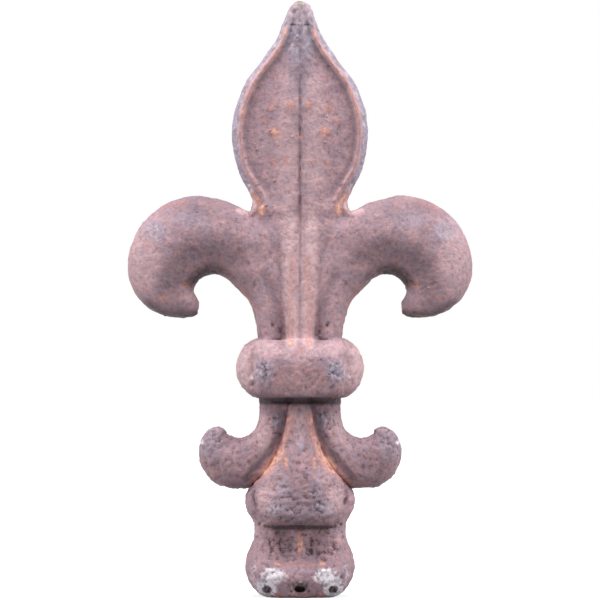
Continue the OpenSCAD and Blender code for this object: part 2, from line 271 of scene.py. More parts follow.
@dataclass
class SidePetal:
    """Curled side petal, from its nib round to the collar."""

    reach: float = 47.7
    crown: float = 4.0
    height: float = 33.8
    depth: float = 14.4
    eye_d: float = 11.2
    eye_x: float = 24.0
    eye_h: float = 12.1
    root_w: float = 23.2

    # Share of the full thickness at even steps from the nib to the arch
    swell: tuple[float, ...] = (0, 0.66, 0.88, 0.97, 1, 1, 0.97, 0.93)

    def sides(self, h: Heights, notch_x: float) -> tuple[np.ndarray, np.ndarray, np.ndarray]:
        """Outer and inner sides of the free petal, nib first, and the arch point.

        Args:
            h: Heights of the casting.
            notch_x: Half width at the notch.

        Returns:
            Outer side, inner side, and the point where the arch meets the bound petal.
        """
        crown = np.array([self.eye_x + 3.7, h.z_notch + self.crown])
        under = np.array([self.eye_x + 9.2, crown[1] - self.height])
        waist = under[1] + self.height * 0.41
        eye, r = np.array([self.eye_x, h.z_root + self.eye_h]), self.eye_d / 2
        nib_low = np.array([self.eye_x + 4.3, under[1] + 1.1])
        nib_top = np.array([self.eye_x + 3.9, under[1] + 4.2])
        arch = np.array([eye[0] - r * 0.72, eye[1] + r * 0.76])
        leave = 8
        mouth = eye + r * np.array([math.cos(math.radians(leave)), math.sin(math.radians(leave))])
        shoulder = (mix(notch_x, crown[0], 0.48), mix(h.z_notch, crown[1], 0.62))
        outer = np.concatenate([
            samples([(notch_x, h.z_notch), shoulder, crown], 5),
            arc((crown[0], waist), (self.reach - crown[0], crown[1] - waist), 90, 0, 7)[1:],
            arc((under[0], waist), (self.reach - under[0], waist - under[1]), 0, -90, 6)[1:],
            samples([under, (mix(under[0], nib_low[0], 0.6), under[1] + 0.2), nib_low], 4)[1:],
        ])
        inner = np.concatenate([
            samples([arch, (eye[0] - r * 0.3, eye[1] + r * 0.97), (eye[0] + r * 0.1, eye[1] + r)], 5),
            arc(eye, (r, r), 84, 24, 7)[1:],
            arc(eye, (r, r), 24, leave, 5)[1:],
            samples([mouth, nib_top + (0.9, 1.3), nib_top], 5)[1:],
        ])
        return outer[::-1], inner[::-1], arch

    def rows(self, h: Heights, blade: Blade, seam: np.ndarray) -> Rows:
        """Rows from the nib to the collar.

        Args:
            h: Heights of the casting.
            blade: The blade, for its notch and root sizes.
            seam: Stations of the groove beside the middle petal.

        Returns:
            Array of rows of (x, rise, z).
        """
        outer, inner, arch = self.sides(h, blade.notch_w / 2)
        spans = len(seam) - 1
        bound_inner = samples(
            [
                arch,
                (self.root_w / 2 + 2.9, h.z_root + self.eye_h * 0.87),
                (self.root_w / 2 + 0.8, h.z_root + self.eye_h * 0.42),
                (self.root_w / 2, h.z_root),
            ],
            spans,
        )
        crest = samples([[v] for v in self.swell], len(outer) - 1)[:, 0] * self.depth / 2
        bound_crest = samples([[self.depth * 0.465], [self.depth * 0.44], [blade.root_d * 0.45]], spans)[:, 0]
        free = [strip_row(p, 0, q, c) for p, q, c in zip(outer, inner, crest)]
        tied = [strip_row(s[[0, 2]], s[3], q, c) for s, q, c in zip(seam, bound_inner, bound_crest)]
        return np.array(free + tied[1:])


def strip_row(p: np.ndarray, g: float, q: np.ndarray, crest: float, spans: int = 10) -> np.ndarray:
    """Points of a rounded row from the side p, of rise g, to the side q.

    Args:
        p: First side as (x, z).
        g: Rise at the first side.
        q: Second side as (x, z), on the parting plane.
        crest: Rise of the row at its middle.
        spans: Spans across the row.

    Returns:
        Array of (x, rise, z).
    """
    a = math.pi * np.arange(spans + 1) / spans
    t = (1 - np.cos(a)) / 2
    k = np.sin(a)
    k[-1] = 0.0
    if crest == 0:
        rise = np.zeros(spans + 1)
    else:
        rise = crest * k**0.8
        first = a < math.pi / 2 - 1e-9
        rise[first] = mix(g, crest, k[first] ** mix(0.8, 1.5, min(1.0, g / crest)))
    return np.stack([mix(p[0], q[0], t), rise, mix(p[1], q[1], t)], axis=1)


@dataclass
class LeafAndBell:
    """Leaf below the collar, widening into the bell, with the ring behind it."""

    stem_d: float = 13.8
    crease_depth: float = 1.4
    ring_w: float = 30.4
    bell_d: float = 26.4
    neck_w: float = 25.4
    neck_d: float = 17.6
    hollow_depth: float = 1.1

    def fork_x(self) -> float:
        """Distance of the notch below a scroll from the centre."""
        return self.ring_w / 2 - 1.1

    def seam(self, h: Heights, spans: int) -> np.ndarray:
        """Stations of the leaf's edge from the collar to the notch.

        Args:
            h: Heights of the casting.
            spans: Spans along the seam.

        Returns:
            Array of (half width, ridge rise, z, side rise, crease x, crease rise).
        """
        sr, br, zc, st = self.stem_d / 2, self.bell_d / 2, h.z_collar, h.stem
        cr, fx = sr - self.crease_depth, self.fork_x()
        return samples(
            [
                (2.8, sr, zc, cr, 2.5, sr * 0.9),
                (3.5, sr * 1.02, zc - st * 0.16, cr, 3.2, sr * 0.9),
                (4.9, sr * 1.12, zc - st * 0.43, cr, 4.5, sr * 0.92),
                (7.4, mix(sr, br, 0.4), zc - st * 0.68, cr, 6.9, sr * 0.98),
                (11, mix(sr, br, 0.64), zc - st * 0.87, cr * 0.9, 10.4, sr),
                (fx, mix(sr, br, 0.8), h.z_stem, 0, fx - 0.7, sr * 0.5),
            ],
            spans,
        )

    def bell_rail(self, h: Heights, start: np.ndarray) -> np.ndarray:
        """Stations of the bell and its ring, from the notch to the neck.

        Args:
            h: Heights of the casting.
            start: Last station of the leaf's edge.

        Returns:
            Array of stations like those of the seam.
        """
        sr, br, rx = self.stem_d / 2, self.bell_d / 2, self.ring_w / 2
        nx, nr = self.neck_w / 2, self.neck_d / 2
        zb, bh = h.z_bell, h.bell
        return np.array([
            start,
            (rx - 0.3, mix(sr, br, 0.87), zb + bh * 0.86, 0, rx - 2.4, sr * 0.82),
            (rx, br * 0.97, zb + bh * 0.66, 0, rx - 2.8, sr * 0.9),
            (rx - 0.5, br, zb + bh * 0.38, 0, rx - 3.6, sr * 0.94),
            (mix(nx, rx, 0.3), br * 0.98, zb + bh * 0.18, 0, nx - 2.6, sr),
            (nx, br * 0.9, zb + bh * 0.03, 0, nx - 3.4, sr * 1.02),
            (nx, mix(nr, br, 0.4), zb - h.neck * 0.03, 0, nx - 3.7, nr * 0.84),
        ])

    def row(self, s: np.ndarray, h: Heights) -> np.ndarray:
        """Points across the leaf, bell, neck or foot at one station.

        Args:
            s: Station as (half width, ridge rise, z, side rise, crease x, crease rise).
            h: Heights of the casting.

        Returns:
            Array of (x, rise, z).
        """
        x0, d, z, g, xc, rc = s
        leaf = float(ease(h.z_stem - h.bell * 0.3, h.z_stem + h.stem * 0.4, z))
        inner = xc * np.array([0, 0.2, 0.4, 0.64, 0.86, 1])
        x = np.array([*inner, mix(xc, x0, 0.4), mix(xc, x0, 0.8), x0])
        full = mix(np.array([1, 0.98, 0.9, 0.72, 0.42, 0]), np.array([1, 1, 0.99, 0.97, 0.8, 0]), leaf)
        side = mix(np.array([0.94, 0.62, 0]), np.array([0.5, 0.1, 0]), leaf)
        dip = np.array([0, 0.45, 1, 0.5, 0, 0]) * self.hollow(z, h)
        rise = np.concatenate([mix(rc, d, full) - dip, mix(g, rc, side)])
        return np.stack([x, rise, np.full(len(x), z)], axis=1)

    def hollow(self, z: float, h: Heights) -> float:
        """Depth at height z of the hollows on either side of the foot's ridge."""
        above, below = ease(h.foot * 0.56, h.foot * 0.8, z), 1 - ease(h.z_bell - 2.4, h.z_bell, z)
        return self.hollow_depth * float(above * below)


@dataclass
class Foot:
    """Neck and flared foot, with the socket for the bar in its underside."""

    width: float = 30.4
    depth: float = 25.0
    flat_d: float = 18.8
    socket_d: float = 13.0
    socket_h: float = 20.0

    def rail(self, h: Heights, bell: LeafAndBell) -> np.ndarray:
        """Stations of the neck and the foot, from the bell down to the underside.

        Args:
            h: Heights of the casting.
            bell: The bell, for the neck's width and thickness.

        Returns:
            Array of stations like those of the leaf and bell.
        """
        nx, nr = bell.neck_w / 2, bell.neck_d / 2
        fx, fr, fl = self.width / 2, self.depth / 2, self.flat_d / 2
        f = h.foot
        return np.array([
            (nx, nr, h.z_bell - h.neck * 0.1, 0, nx - 3.8, nr * 0.84),
            (nx, nr * 0.98, h.z_bell - h.neck * 0.6, 0, nx - 3.6, nr * 0.84),
            (mix(nx, fx, 0.15), nr * 1.02, f * 0.96, 0, nx - 3.4, nr * 0.86),
            (mix(nx, fx, 0.72), mix(nr, fr, 0.14), f * 0.77, 0, nx - 3, nr * 0.92),
            (mix(nx, fx, 0.94), mix(nr, fr, 0.42), f * 0.62, 0, nx - 2.4, mix(nr, fr, 0.2)),
            (fx, fr * 0.97, f * 0.5, 0, nx - 2, fr * 0.86),
            (mix(fx, fl, 0.12), fr, f * 0.32, 0, nx - 2.4, fr * 0.86),
            (mix(fx, fl, 0.42), mix(fr, fl, 0.3), f * 0.15, 0, fl * 0.92, fr * 0.76),
            (mix(fx, fl, 0.66), mix(fr, fl, 0.62), f * 0.06, 0, fl * 0.82, fl * 0.84),
            (fl, fl, 0, 0, fl * 0.72, fl * 0.7),
        ])

    def socket_rows(self, sole: np.ndarray) -> Rows:
        """Rows from the foot's underside into the socket.

        Args:
            sole: The foot's last row, in the plane of the underside.

        Returns:
            Array of rows that close the surface at the socket's blind end.
        """
        r, n = self.socket_d / 2, len(sole)
        a = np.radians(np.linspace(0, 90, n))
        steps = (
            (r + 0.5, 0), (r + 0.06, 0.1), (r, 0.7), (r, self.socket_h * 0.5),
            (r, self.socket_h - 0.7), (r - 0.4, self.socket_h), (r * 0.5, self.socket_h), (0, self.socket_h),
        )
        inset = sole * (0.95, 0.95, 1)
        rings = [np.stack([k * np.sin(a), k * np.cos(a), np.full(n, z)], axis=1) for k, z in steps]
        for ring in rings:
            ring[0][0] = 0.0
            ring[-1][1] = 0.0
        return np.array([sole, inset] + rings)


@dataclass
class Scroll:
    """Small lower scroll that curls outward and up beside the leaf."""

    stem_w: float = 22.8
    reach: float = 28.0
    height: float = 17.1
    depth: float = 12.0
    eye_d: float = 11.0
    eye_x: float = 17.0

    # Share of the full thickness at even steps from the notch to the tip
    swell: tuple[float, ...] = (0.94, 1, 1, 0.98, 0.9, 0.68, 0)

    def rows(self, h: Heights, bell: LeafAndBell, seam: np.ndarray) -> Rows:
        """Rows from the collar round to the scroll's tip.

        Args:
            h: Heights of the casting.
            bell: The leaf and bell, for the notch and the stem's thickness.
            seam: Stations of the leaf's edge.

        Returns:
            Array of rows of (x, rise, z).
        """
        spans = len(seam) - 1
        eye, r = np.array([self.eye_x, h.z_stem + self.height + 2.3]), self.eye_d / 2
        tip = np.array([eye[0] + r, h.z_stem + self.height])
        belly = np.array([self.reach * 0.655, h.z_stem + self.height * 0.57])
        fork = np.array([bell.fork_x(), h.z_stem])
        inner_stem = samples(
            [
                (self.stem_w / 2, h.z_collar),
                (self.stem_w / 2 - 0.3, mix(h.z_collar, eye[1], 0.6)),
                (eye[0] - r * 0.94, eye[1] - r * 0.35),
                (eye[0] - r * 0.62, eye[1] - r * 0.79),
                (eye[0] - r * 0.1, eye[1] - r),
            ],
            spans,
        )
        outer = np.concatenate([
            samples([fork, (mix(fork[0], belly[0], 0.6), h.z_stem)], 2),
            arc(belly, (self.reach - belly[0], belly[1] - h.z_stem), -90, 0, 7)[1:],
            arc((tip[0], belly[1]), (self.reach - tip[0], tip[1] - belly[1]), 0, 72, 4)[1:],
            [tip],
        ])
        leave = 308
        a = math.radians(leave)
        inner = np.concatenate([
            arc(eye, (r, r), 264, 276, 2),
            arc(eye, (r, r), 276, leave, 7)[1:],
            samples([eye + r * np.array([math.cos(a), math.sin(a)]), tip + (-1.6, -0.9), tip], 5)[1:],
        ])
        sr = bell.stem_d / 2
        crest = samples([[v] for v in self.swell], len(outer) - 1)[:, 0] * self.depth / 2
        stem_crest = samples([[sr * 0.92], [sr * 0.92], [self.depth * 0.47]], spans)[:, 0]
        tied = [strip_row(s[[0, 2]], s[3], q, c) for s, q, c in zip(seam, inner_stem, stem_crest)]
        free = [strip_row(p, 0, q, c) for p, q, c in zip(outer, inner, crest)]
        return np.array(tied + free[1:])


@dataclass
class Collar:
    """Rounded collar: a barrel in the middle and a lobe at each end."""

    width: float = 35.4
    depth: float = 24.0
    barrel_w: float = 25.6
    barrel_i: int = 13
    spans: int = 11

    def point(self, i: int, w: float, last: int) -> tuple[float, float]:
        """Point across the collar at one height.

        Args:
            i: Number of the point, from the middle.
            w: Half width of the collar at that height.
            last: Number of the outermost point.

        Returns:
            The point's x and rise.
        """
        b, r = self.barrel_w / 2, self.depth / 2
        if i <= self.barrel_i:
            a = math.sin(math.pi / 2 * i / self.barrel_i)
            return a * b, mix(r * 0.6, r, math.sqrt(max(0.0, 1 - a**6)))
        a = math.pi / 2 * (i - self.barrel_i) / (last - self.barrel_i)
        return mix(b, w, math.sin(a)), r * 0.6 * math.cos(a)

    def rows(self, h: Heights, top: np.ndarray, end: np.ndarray) -> Rows:
        """Rows between the last row above the collar and the first below it.

        Args:
            h: Heights of the casting.
            top: Row of the bound petals at the collar.
            end: Row of the stem under the collar.

        Returns:
            Array of rows of (x, rise, z).
        """
        last = len(top) - 1
        out = [top]
        for j in range(1, self.spans):
            v = j / self.spans
            sine = math.sin(math.pi * v)
            swell, roll = sine**1.3, sine ** (1.1 if v < 0.5 else 0.45)
            side = mix(top[last][0], end[last][0], v)
            w = mix(side, self.width / 2, swell)
            p = mix(top, end, v)
            q = np.array([self.point(i, w, last) for i in range(last + 1)])
            x = mix(p[:, 0] * w / side, q[:, 0], math.sqrt(swell))
            rise = mix(p[:, 1], q[:, 1], roll)
            rise[last] = 0
            z = mix(h.z_root, h.z_collar, (1 - math.cos(math.pi * v)) / 2)
            out.append(np.stack([x, rise, np.full(last + 1, z)], axis=1))
        return np.array(out + [end])


# Cage
@dataclass
class Cage:
    """Strips of one quarter, welded and mirrored into one closed mesh of quads."""

    strips: list[Rows] = field(default_factory=list)
    folds: list[tuple[int, str, int, float, slice]] = field(default_factory=list)
    per_mm: float = 2000.0

    def add(self, rows: Rows) -> int:
        """Adds a strip and returns its number."""
        self.strips.append(np.asarray(rows, float))
        return len(self.strips) - 1

    def fold(self, strip: int, along: str, index: int, weight: float, part: slice = slice(None)) -> None:
        """Keeps a line of the cage crisp when it is smoothed.

        Args:
            strip: Number of the strip.
            along: "column" for a line along the rows' stations, "row" for one across.
            index: Number of the column or row.
            weight: Crease weight, from 0 to 1.
            part: The stretch of that line, or all of it.
        """
        self.folds.append((strip, along, index, weight, part))

    def mesh(self, name: str) -> bpy.types.Mesh:
        """Builds the closed cage from the four mirrored quarters.

        Args:
            name: Name of the new mesh.

        Returns:
            The cage in metres.
        """
        keys: dict[tuple[int, int, int], int] = {}
        points: list[tuple[float, float, float]] = []
        faces: list[list[int]] = []
        creases: dict[tuple[int, int], float] = {}

        def number(x: float, y: float, z: float) -> int:
            """Welds the points that fall within one step of a fine grid.

            Args:
                x: Place across, in mm.
                y: Place from front to back, in mm.
                z: Height, in mm.

            Returns:
                Number of the point there, new or already known.
            """
            key = (round(x * self.per_mm), round(y * self.per_mm), round(z * self.per_mm))
            if key not in keys:
                keys[key] = len(points)
                points.append((x * MM, y * MM, z * MM))
            return keys[key]

        for sx in (1, -1):
            for sy in (-1, 1):
                grids = [
                    np.array([[number(sx * x, sy * r, z) for x, r, z in row] for row in rows])
                    for rows in self.strips
                ]
                for ids in grids:
                    for j in range(ids.shape[0] - 1):
                        for i in range(ids.shape[1] - 1):
                            ring = [ids[j, i], ids[j, i + 1], ids[j + 1, i + 1], ids[j + 1, i]]
                            ring = [int(v) for k, v in enumerate(ring) if v != ring[k - 1]]
                            if len(set(ring)) == len(ring) > 2:
                                faces.append(ring if sx * sy > 0 else ring[::-1])
                for strip, along, index, weight, part in self.folds:
                    line = grids[strip][part, index] if along == "column" else grids[strip][index, part]
                    for a, b in zip(line[:-1], line[1:]):
                        creases[(min(a, b), max(a, b))] = weight
        mesh = bpy.data.meshes.new(name)
        mesh.from_pydata(points, [], faces)
        mesh.update()
        sharp = mesh.attributes.new("crease_edge", "FLOAT", "EDGE")
        for edge in mesh.edges:
            a, b = edge.vertices
            sharp.data[edge.index].value = creases.get((min(a, b), max(a, b)), 0.0)
        return mesh


# Wear and casting marks
class Mark(Enum):
    """Marks that a surface carries as attributes, each from 0 to 1."""

    RUST = "rust"
    # Painted shade in hollows, pits, undercuts and on faces that turn downward
    DARK = "painted_shade"
    PALE = "pale"
    LILAC = "lilac"
    # Painted highlight on lit tops and outer sides, along the rim and on raised lips
    PAINTED_HIGHLIGHT = "painted_highlight"
    MOSS = "moss"
    PEBBLE = "pebble"


def line_distance(x: np.ndarray, z: np.ndarray, line: Sequence[Sequence[float]]) -> np.ndarray:
    """Distance of each point to a polyline in the plane of the face.

    Args:
        x: Distances of the points from the middle.
        z: Heights of the points.
        line: Corners of the polyline as (x, z).

    Returns:
        The distances, in the unit of the inputs.
    """
    best = np.full(len(x), 1e9)
    for (ax, az), (bx, bz) in zip(line[:-1], line[1:]):
        dx, dz = bx - ax, bz - az
        t = np.clip(((x - ax) * dx + (z - az) * dz) / max(dx * dx + dz * dz, 1e-9), 0, 1)
        best = np.minimum(best, np.hypot(x - ax - t * dx, z - az - t * dz))
    return best


def rim_x(crest: np.ndarray, z: np.ndarray) -> np.ndarray:
    """Distance of the rim's crest from the middle at each height."""
    return np.interp(z, crest[::-1, 1], crest[::-1, 0])


def lay(marks: dict[Mark, np.ndarray], mark: Mark, values: np.ndarray) -> None:
    """Raises a mark to the given values where they are the stronger."""
    marks[mark] = np.maximum(marks[mark], values)


def mound(distance: np.ndarray, half_w: float) -> np.ndarray:
    """Smooth mound of height 1 that has sunk to about a third at half_w."""
    return np.exp(-((distance / half_w) ** 2))


# Raised lip round the notch between blade and petal, as (x, z) in mm
NOTCH_LIP = ((13.4, 112.5), (12.9, 110.5), (12.3, 108.2), (12.8, 106.9), (14.2, 106.2), (17.0, 106.8))

# How far from its middle a mark starts to fade and has gone, in half widths
CRISP = (0.55, 1.35)
SOFT = (0.3, 1.3)
STREAKY = (0.3, 1.7)


@dataclass(frozen=True)
class Spot:
    """Oval mark at the same place on both halves and both faces, in mm."""

    mark: Mark
    x: float
    z: float
    half_w: float
    half_h: float
    strength: float
    fading: tuple[float, float] = CRISP

    def values(self, x: np.ndarray, z: np.ndarray) -> np.ndarray:
        """Strength of the mark at each point."""
        distance = np.hypot((x - self.x) / self.half_w, (z - self.z) / self.half_h)
        return self.strength * (1 - ease(*self.fading, distance))


@dataclass(frozen=True)
class Streak:
    """Mark along a line of (x, z) points, in mm."""

    mark: Mark
    points: tuple[tuple[float, float], ...]
    half_w: float
    strength: float

    def values(self, x: np.ndarray, z: np.ndarray) -> np.ndarray:
        """Strength of the mark at each point."""
        return self.strength * (1 - ease(*STREAKY, line_distance(x, z, self.points) / self.half_w))


@dataclass
class Wear:
    """Where rust, lime and bare metal lie on the casting, and where painted shade and painted highlight go.
    """

    crest: np.ndarray

    # Darkening spots below are painted shade: in the pits and dents, under the knob's lip, beside a blister,
    # in the notch, in the petal's curl, beside the neck and in the foot's hollows. The smooth light pink
    # spots are painted highlight: on the knob, the collar's top and lobes, the petals' outer sides, the bell,
    # the leaf and the stem.
    spots: tuple[Spot, ...] = (
        Spot(Mark.DARK, 1.9, 158.3, 0.95, 0.38, 1.0),
        Spot(Mark.PALE, 0.0, 158.6, 0.5, 0.5, 0.9),
        Spot(Mark.MOSS, 0.0, 164.2, 0.9, 1.3, 0.9),
        Spot(Mark.LILAC, 0.0, 156.0, 5.0, 10.0, 1.0),
        Spot(Mark.PAINTED_HIGHLIGHT, 0.0, 161.6, 4.0, 3.4, 0.3),
        Spot(Mark.LILAC, 0.0, 144.0, 3.4, 9.0, 0.5),
        Spot(Mark.DARK, 0.0, 148.0, 3.6, 8.0, 0.26),
        Spot(Mark.RUST, 7.0, 143.5, 0.7, 0.6, 0.6),
        Spot(Mark.RUST, 2.6, 136.0, 1.4, 1.3, 0.6),
        Spot(Mark.RUST, 0.6, 138.3, 0.7, 0.5, 0.6),
        Spot(Mark.RUST, 7.7, 135.2, 1.4, 0.7, 0.55),
        Spot(Mark.RUST, 6.9, 128.4, 1.4, 1.4, 1.0),
        Spot(Mark.DARK, 8.3, 127.8, 0.45, 0.9, 0.35),
        Spot(Mark.RUST, 0.0, 127.0, 0.9, 0.7, 0.9),
        Spot(Mark.PALE, 4.1, 130.4, 0.5, 0.5, 0.5),
        Spot(Mark.RUST, 10.0, 131.7, 0.9, 0.8, 0.55),
        Spot(Mark.RUST, 3.9, 120.8, 0.8, 1.2, 0.55),
        Spot(Mark.RUST, 7.3, 120.0, 0.9, 1.2, 0.55),
        Spot(Mark.PALE, 6.8, 116.0, 0.5, 0.5, 0.4),
        Spot(Mark.DARK, 11.6, 113.9, 0.6, 0.4, 0.7),
        Spot(Mark.PALE, 14.0, 113.8, 0.6, 0.6, 0.8),
        Spot(Mark.RUST, 10.6, 107.2, 1.3, 1.9, 0.85),
        Spot(Mark.DARK, 12.0, 106.4, 0.6, 1.0, 0.25),
        Spot(Mark.RUST, 42.0, 97.2, 1.0, 1.0, 0.35),
        Spot(Mark.RUST, 31.3, 86.4, 1.7, 0.8, 0.75),
        Spot(Mark.RUST, 38.1, 82.8, 1.2, 0.9, 0.55),
        Spot(Mark.LILAC, 40.0, 101.0, 3.4, 3.0, 0.75),
        Spot(Mark.LILAC, 30.0, 104.5, 5.0, 2.6, 0.5),
        Spot(Mark.DARK, 7.6, 75.4, 0.55, 0.6, 1.0),
        Spot(Mark.DARK, 5.5, 73.7, 0.55, 0.6, 0.9),
        Spot(Mark.DARK, 26.2, 89.1, 2.8, 2.0, 1.0),
        Spot(Mark.DARK, 14.3, 92.2, 0.7, 0.4, 0.6),
        Spot(Mark.DARK, 12.6, 86.8, 0.5, 0.7, 0.5),
        Spot(Mark.RUST, 2.7, 70.1, 0.7, 0.7, 0.95),
        Spot(Mark.RUST, 0.0, 68.2, 1.8, 1.3, 0.35),
        Spot(Mark.LILAC, 10.0, 62.4, 2.9, 3.2, 1.0),
        Spot(Mark.PALE, 13.4, 60.8, 0.6, 0.9, 0.85),
        Spot(Mark.PAINTED_HIGHLIGHT, 15.4, 63.6, 3.4, 6.0, 0.75),
        Spot(Mark.PAINTED_HIGHLIGHT, 7.0, 68.6, 9.0, 2.2, 0.35),
        Spot(Mark.PAINTED_HIGHLIGHT, 43.0, 93.0, 5.0, 10.0, 0.35),
        Spot(Mark.PAINTED_HIGHLIGHT, 9.8, 27.0, 2.6, 3.8, 0.5),
        Spot(Mark.PAINTED_HIGHLIGHT, 0.0, 47.0, 2.6, 5.0, 0.4),
        Spot(Mark.PAINTED_HIGHLIGHT, 10.2, 46.0, 2.2, 5.0, 0.45),
        Spot(Mark.PAINTED_HIGHLIGHT, 0.0, 67.5, 6.0, 1.8, 0.25),
        Spot(Mark.PAINTED_HIGHLIGHT, 0.0, 57.6, 11.0, 1.6, 0.22),
        Spot(Mark.PAINTED_HIGHLIGHT, 6.6, 33.0, 2.2, 3.6, 0.3),
        Spot(Mark.RUST, 0.0, 60.8, 9.0, 4.4, 0.24),
        Spot(Mark.PALE, 27.2, 42.8, 0.9, 0.8, 0.9),
        Spot(Mark.LILAC, 25.2, 43.0, 4.0, 5.0, 0.6),
        Spot(Mark.LILAC, 6.0, 49.0, 1.6, 2.4, 0.9),
        Spot(Mark.LILAC, 0.0, 42.4, 1.0, 3.0, 0.7),
        Spot(Mark.LILAC, 4.5, 30.0, 1.8, 3.0, 0.7),
        Spot(Mark.RUST, 3.9, 37.3, 0.6, 1.7, 0.85),
        Spot(Mark.RUST, 9.3, 44.7, 0.7, 0.5, 0.4),
        Spot(Mark.LILAC, 6.4, 25.0, 3.4, 2.4, 0.8),
        Spot(Mark.LILAC, 0.0, 24.0, 6.0, 3.0, 0.45),
        Spot(Mark.DARK, 11.3, 20.3, 0.45, 0.6, 0.9),
        Spot(Mark.DARK, 11.8, 16.7, 0.4, 0.5, 0.7),
        Spot(Mark.DARK, 2.5, 14.4, 1.3, 3.2, 0.34),
        Spot(Mark.DARK, 5.2, 15.0, 4.0, 4.2, 0.15),
        Spot(Mark.RUST, 0.0, 15.2, 0.9, 3.8, 0.8),
        Spot(Mark.DARK, 5.0, 10.6, 8.0, 2.6, 0.3),
        Spot(Mark.DARK, 24.5, 41.0, 6.5, 6.5, 0.2),
        Spot(Mark.DARK, 12.6, 11.0, 2.6, 4.5, 0.2),
        Spot(Mark.RUST, 6.2, 9.5, 1.0, 0.5, 1.0),
        Spot(Mark.PALE, 7.4, 6.2, 4.0, 2.3, 1.0),
        Spot(Mark.PALE, 9.6, 3.8, 3.0, 2.0, 0.8),
        # Pale lime round a side pit, pushed past full strength: partly painted highlight where the foot turns
        # under
        Spot(Mark.PALE, 9.1, 2.5, 2.7, 2.4, 1.5),
        Spot(Mark.PALE, 0.0, 3.2, 3.0, 2.0, 0.45),
        Spot(Mark.DARK, 1.9, 3.8, 0.5, 0.45, 1.0),
        Spot(Mark.DARK, 2.4, 2.0, 0.45, 0.4, 0.9),
        Spot(Mark.DARK, 0.7, 4.6, 0.4, 0.35, 0.9),
        Spot(Mark.DARK, 7.9, 6.9, 0.4, 0.4, 0.9),
        Spot(Mark.DARK, 6.3, 5.4, 0.35, 0.35, 0.8),
        Spot(Mark.RUST, 5.6, 0.9, 1.4, 0.7, 0.6),
        Spot(Mark.PEBBLE, 9.5, 127.0, 4.0, 13.0, 0.4),
        Spot(Mark.PEBBLE, 2.6, 149.0, 3.0, 8.0, 0.45),
        Spot(Mark.PEBBLE, 0.0, 25.5, 10.0, 7.5, 1.0),
        Spot(Mark.PEBBLE, 0.0, 32.0, 5.0, 9.0, 0.7),
        Spot(Mark.PEBBLE, 5.0, 14.5, 7.0, 5.0, 1.15),
        Spot(Mark.PEBBLE, 8.0, 6.0, 4.0, 4.0, 1.0),
        Spot(Mark.PEBBLE, 10.0, 62.4, 3.2, 3.4, 1.0),
        Spot(Mark.PEBBLE, 7.0, 48.0, 3.2, 5.0, 1.0),
        Spot(Mark.PEBBLE, 22.0, 39.0, 9.0, 9.0, 0.55),
        Spot(Mark.PEBBLE, 25.0, 44.0, 3.6, 3.6, 1.0),
    )
